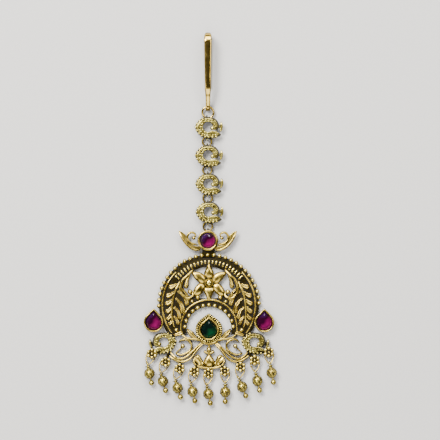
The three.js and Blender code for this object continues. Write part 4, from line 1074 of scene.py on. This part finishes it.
def make_chain():
    """The four crescents, each with a loop above and below, and the link rings under them."""
    shifts = [*CHAIN_X, CROWN_X]
    loops = [staple(0, side * (CRESCENT_H / 2 - LOOP_SET), LOOP_HOLE_R, LOOP_WIRE_R, CHAIN_Z + CRESCENT_T / 2)
             for side in (1, -1)]
    motif = joined([*crescent(CRESCENT_H, CHAIN_Z, CHAIN_Z + CRESCENT_T, CRESCENT_TOP),
                    crescent_studs(CRESCENT_H, CRESCENT_TOP), *spike(CRESCENT_H, CHAIN_Z, CRESCENT_TOP),
                    round_wires(loops, pitted_gold, LOOP_WIRE_R, closed=False)])
    for i, y in enumerate(motif_y):
        piece(f"crescent_{i + 1}", moved(motif, shifts[i], y), pitted_gold)
        x = (shifts[i] + shifts[i + 1]) / 2
        ring = [(px, py, LINK_Z) for px, py in ring_line(x, y - CRESCENT_H / 2 - LINK_GAP / 2, LINK_R, 40)]
        # the link rings take the darker olive copy of the gold, painted shade that sets them back
        piece(f"link_ring_{i + 1}", round_wires([ring], shaded_olive_gold, LINK_WIRE_R), shaded_olive_gold)


def make_hook():
    """The jump ring, tilted between its two holds, and the hook bent over towards the back."""
    tilt = math.asin((EYE_R - LINK_Z) / (2 * HOOK_RING_R))
    ring = [(hook_x + x, hook_ring_y + y * math.cos(tilt), (EYE_R + LINK_Z) / 2 + y * math.sin(tilt))
            for x, y in ring_line(0, 0, HOOK_RING_R, 48)]
    piece("hook_ring", round_wires([ring], hook_gold, HOOK_RING_WIRE_R), hook_gold)

    bend_r = (HOOK_THROAT + HOOK_T) / 2
    bend_y = eye_y + HOOK_L - HOOK_THROAT / 2 - HOOK_T
    bend_z = HOOK_T / 2 + bend_r
    drop_y = eye_y + HOOK_L * 0.25
    top_z = bend_z + bend_r
    eye_top = EYE_R * 2 - HOOK_T / 2
    # y and z along the back leg, round the bend and down the front leg to the eye
    line = [(bend_y - HOOK_BACK_L, HOOK_T / 2)]
    line += [(y, HOOK_T / 2) for y in np.linspace(bend_y - 14, bend_y, 10)]
    line += [(bend_y + bend_r * math.sin(a), bend_z - bend_r * math.cos(a))
             for a in np.linspace(0.12, math.pi - 0.12, 16)]
    line += [*smooth([(bend_y, top_z), (drop_y + 6, top_z - 0.1), (drop_y, top_z - 0.35),
                      (drop_y - 3, (top_z + eye_top) / 2), (eye_y, eye_top)], 40)]
    piece("hook", joined([strip(line), hook_eye()]), hook_gold)


def strip(line):
    """The hook's strip, domed on its outside: wide at the bend, narrow at the eye."""
    line = np.array(line)
    ahead = np.gradient(line, axis=0)
    ahead /= np.linalg.norm(ahead, axis=1)[:, None]
    top = line[:, 0].max()
    stations = [eye_y + d for d, _ in HOOK_RISE] + [top + d for d, _ in HOOK_BEND]
    halves = [HOOK_TOP_W * k for _, k in HOOK_RISE + HOOK_BEND]
    rows = []
    for (y, z), (ay, az) in zip(line, ahead):
        half = np.interp(y, stations, halves)
        rows.append([(hook_x + u, y - az * v, z + ay * v) for u, v in section(half, HOOK_T / 2)])
    return rows_to_mesh(rows)


def section(half, thick):
    """A strip's section: a flat polished face between round edges, and a flat back."""
    edge = min(half * 0.42, thick)
    face = [(half - edge + edge * math.cos(a), -thick + edge - edge * math.sin(a))
            for a in np.linspace(0, math.pi / 2, 6)]
    face += [(half * 0.3, -thick - 0.02), (-half * 0.3, -thick - 0.02)]
    face += [(-half + edge - edge * math.cos(a), -thick + edge - edge * math.sin(a))
             for a in np.linspace(math.pi / 2, 0, 6)]
    return face + [(-half, thick * 0.6), (-half * 0.85, thick), (half * 0.85, thick), (half, thick * 0.6)]


def hook_eye():
    """The strip's end rolled to a flat eye, seen edge-on from the front."""
    r = EYE_R - EYE_WALL / 2
    band = [(-0.72, -0.2), (-0.62, -0.25), (0.62, -0.25), (0.72, -0.2),
            (0.75, 0.1), (0.55, 0.25), (-0.55, 0.25), (-0.75, 0.1)]
    rows = [[(hook_x + u, eye_y + (r + v) * math.cos(a), EYE_R + (r + v) * math.sin(a)) for u, v in band]
            for a in turns(40)]
    return rows_to_mesh([*rows, rows[0]], caps=False)


# The drops


def pear_ring():
    """The line of a drop's pear-shaped wire, its top at the origin."""
    width, length = DROP_RING
    points = []
    for a in turns(48):
        x = math.cos(a) * (1 + DROP_RING_TAPER * math.sin(a)) * width / 2 * 0.93
        y = (math.sin(a) - 1) * length / 2
        points.append((x, y * math.cos(drop_slope) + DROP_SET, DROP_LOOP_Z - y * math.sin(drop_slope)))
    return points


def hammered_ball(r, y):
    """A ball about (0, -y, 0) whose face is hammered into even cells with sunk joins."""
    k = np.arange(BALL_MARKS)
    tilt = np.arccos(1 - 2 * (k + 0.5) / BALL_MARKS)
    spin = math.pi * (1 + math.sqrt(5)) * k
    centres = np.column_stack([np.sin(tilt) * np.cos(spin), np.cos(tilt), np.sin(tilt) * np.sin(spin)])
    rows = []
    for a in np.linspace(0.01, math.pi - 0.01, 44):
        ring = []
        for b in turns(72):
            face = np.array([math.sin(a) * math.cos(b), math.cos(a), math.sin(a) * math.sin(b)])
            near = np.sort(np.linalg.norm(centres - face, axis=1))[:2]
            out = r - MARK_DEPTH * math.exp(-(((near[1] - near[0]) / MARK_JOIN) ** 2))
            ring.append(face * out - (0, y, 0))
        rows.append(ring)
    mesh = rows_to_mesh(rows)
    # the joins are marked as sunk, fully so in their deeper half
    sunk = mesh.attributes.new("sunk", "FLOAT", "POINT")
    for vertex, value in zip(mesh.vertices, sunk.data):
        depth = r - (vertex.co / MM + Vector((0, y, 0))).length
        value.value = min(1.0, max(0.0, depth / MARK_DEPTH * 2.2 - 0.3))
    return mesh


def drop_bead():
    """A drop: cup, ball, pin and end ball, made fast on one pin."""
    end_y = BALL_DROP + BALL_R + PIN_SHOW + END_BALL_R
    core = BALL_R * 0.9
    profile = [
        (0.02, 0.4), (0.4, 0.42), (BEAD_CUP_R * 0.9, 0.5), (BEAD_CUP_R, 0.6), (BEAD_CUP_R * 0.9, 0.72),
        (0.5, 0.8), (0.46, BALL_DROP - BALL_R + 0.1),
        *((core * math.sin(a), BALL_DROP - core * math.cos(a))
          for a in np.linspace(0.36, math.pi - 0.16, 16)),
        (PIN_R, BALL_DROP + BALL_R + 0.02), (PIN_R, end_y - END_BALL_R),
        *((END_BALL_R * math.sin(a), end_y - END_BALL_R * math.cos(a))
          for a in np.linspace(0.3, math.pi - 0.05, 14)),
        (0.02, end_y + END_BALL_R),
    ]
    return joined([lathe(profile), hammered_ball(BALL_R, BALL_DROP)])


def make_drops():
    """The nine drops, each on its pear-shaped ring and hanging by its eye from the ring's bottom."""
    wire_line = pear_ring()
    turned = drop_bead()
    reach = DROP_RING[1] * math.cos(drop_slope) - DROP_SET
    for i, (sx, sy, ring_lean, bead_lean, _, _) in enumerate(DROPS):
        x, y = sx * DISC_R, sy * DISC_R
        ring = moved(round_wires([wire_line], cast_gold, DROP_WIRE_R), x, y, 0, ring_lean)
        piece(f"drop_ring_{i + 1}", ring, cast_gold)
        a = math.radians(ring_lean)
        turn = math.radians(ring_lean - bead_lean) / 2
        eye = [(BEAD_EYE_R * -math.sin(turn) * math.cos(t), BEAD_EYE_R * math.cos(turn) * math.cos(t),
                BEAD_EYE_R * math.sin(t)) for t in turns(28)]
        bead = joined([turned, round_wires([eye], bead_gold, BEAD_EYE_WIRE_R)])
        bead = moved(bead, x + reach * math.sin(a), y - reach * math.cos(a), BALL_R, bead_lean)
        piece(f"drop_bead_{i + 1}", bead, bead_gold)


# Floor, lights and camera


def make_stage():
    """A pale card, one strong window and four soft panels round the camera, so that wires of every direction
    catch a line of light."""
    bpy.ops.mesh.primitive_plane_add(size=3.0, location=(0.004, 0.028, 0))
    floor = bpy.context.active_object
    floor.name = "card_floor"
    floor.data.materials.append(card)
    for name, place, size, watts in LIGHTS:
        light = bpy.data.lights.new(name, "AREA")
        light.size = size
        light.energy = watts
        lamp = bpy.data.objects.new(name, light)
        lamp.location = place
        lamp.rotation_euler = (Vector((0, 0.03, 0)) - Vector(place)).to_track_quat("-Z", "Y").to_euler()
        bpy.context.scene.collection.objects.link(lamp)
    world = bpy.data.worlds.new("studio")
    world.use_nodes = True
    sky = world.node_tree.nodes["Background"].inputs
    sky["Color"].default_value = colour("#C8C6C2")
    sky["Strength"].default_value = 0.12
    bpy.context.scene.world = world


def make_camera():
    """Straight above, with the picture's width and centre."""
    data = bpy.data.cameras.new("camera")
    data.sensor_width = 36.0
    data.lens = data.sensor_width * CAMERA_HEIGHT / (PICTURE_W / PICTURE_SCALE * MM)
    data.clip_start = 0.01
    camera = bpy.data.objects.new("camera", data)
    camera.location = (*(c * MM for c in PICTURE_CENTRE), CAMERA_HEIGHT)
    bpy.context.scene.collection.objects.link(camera)
    bpy.context.scene.camera = camera


make_camera()
make_stage()
make_pendant()
make_stones()
make_chain()
make_hook()
make_drops()
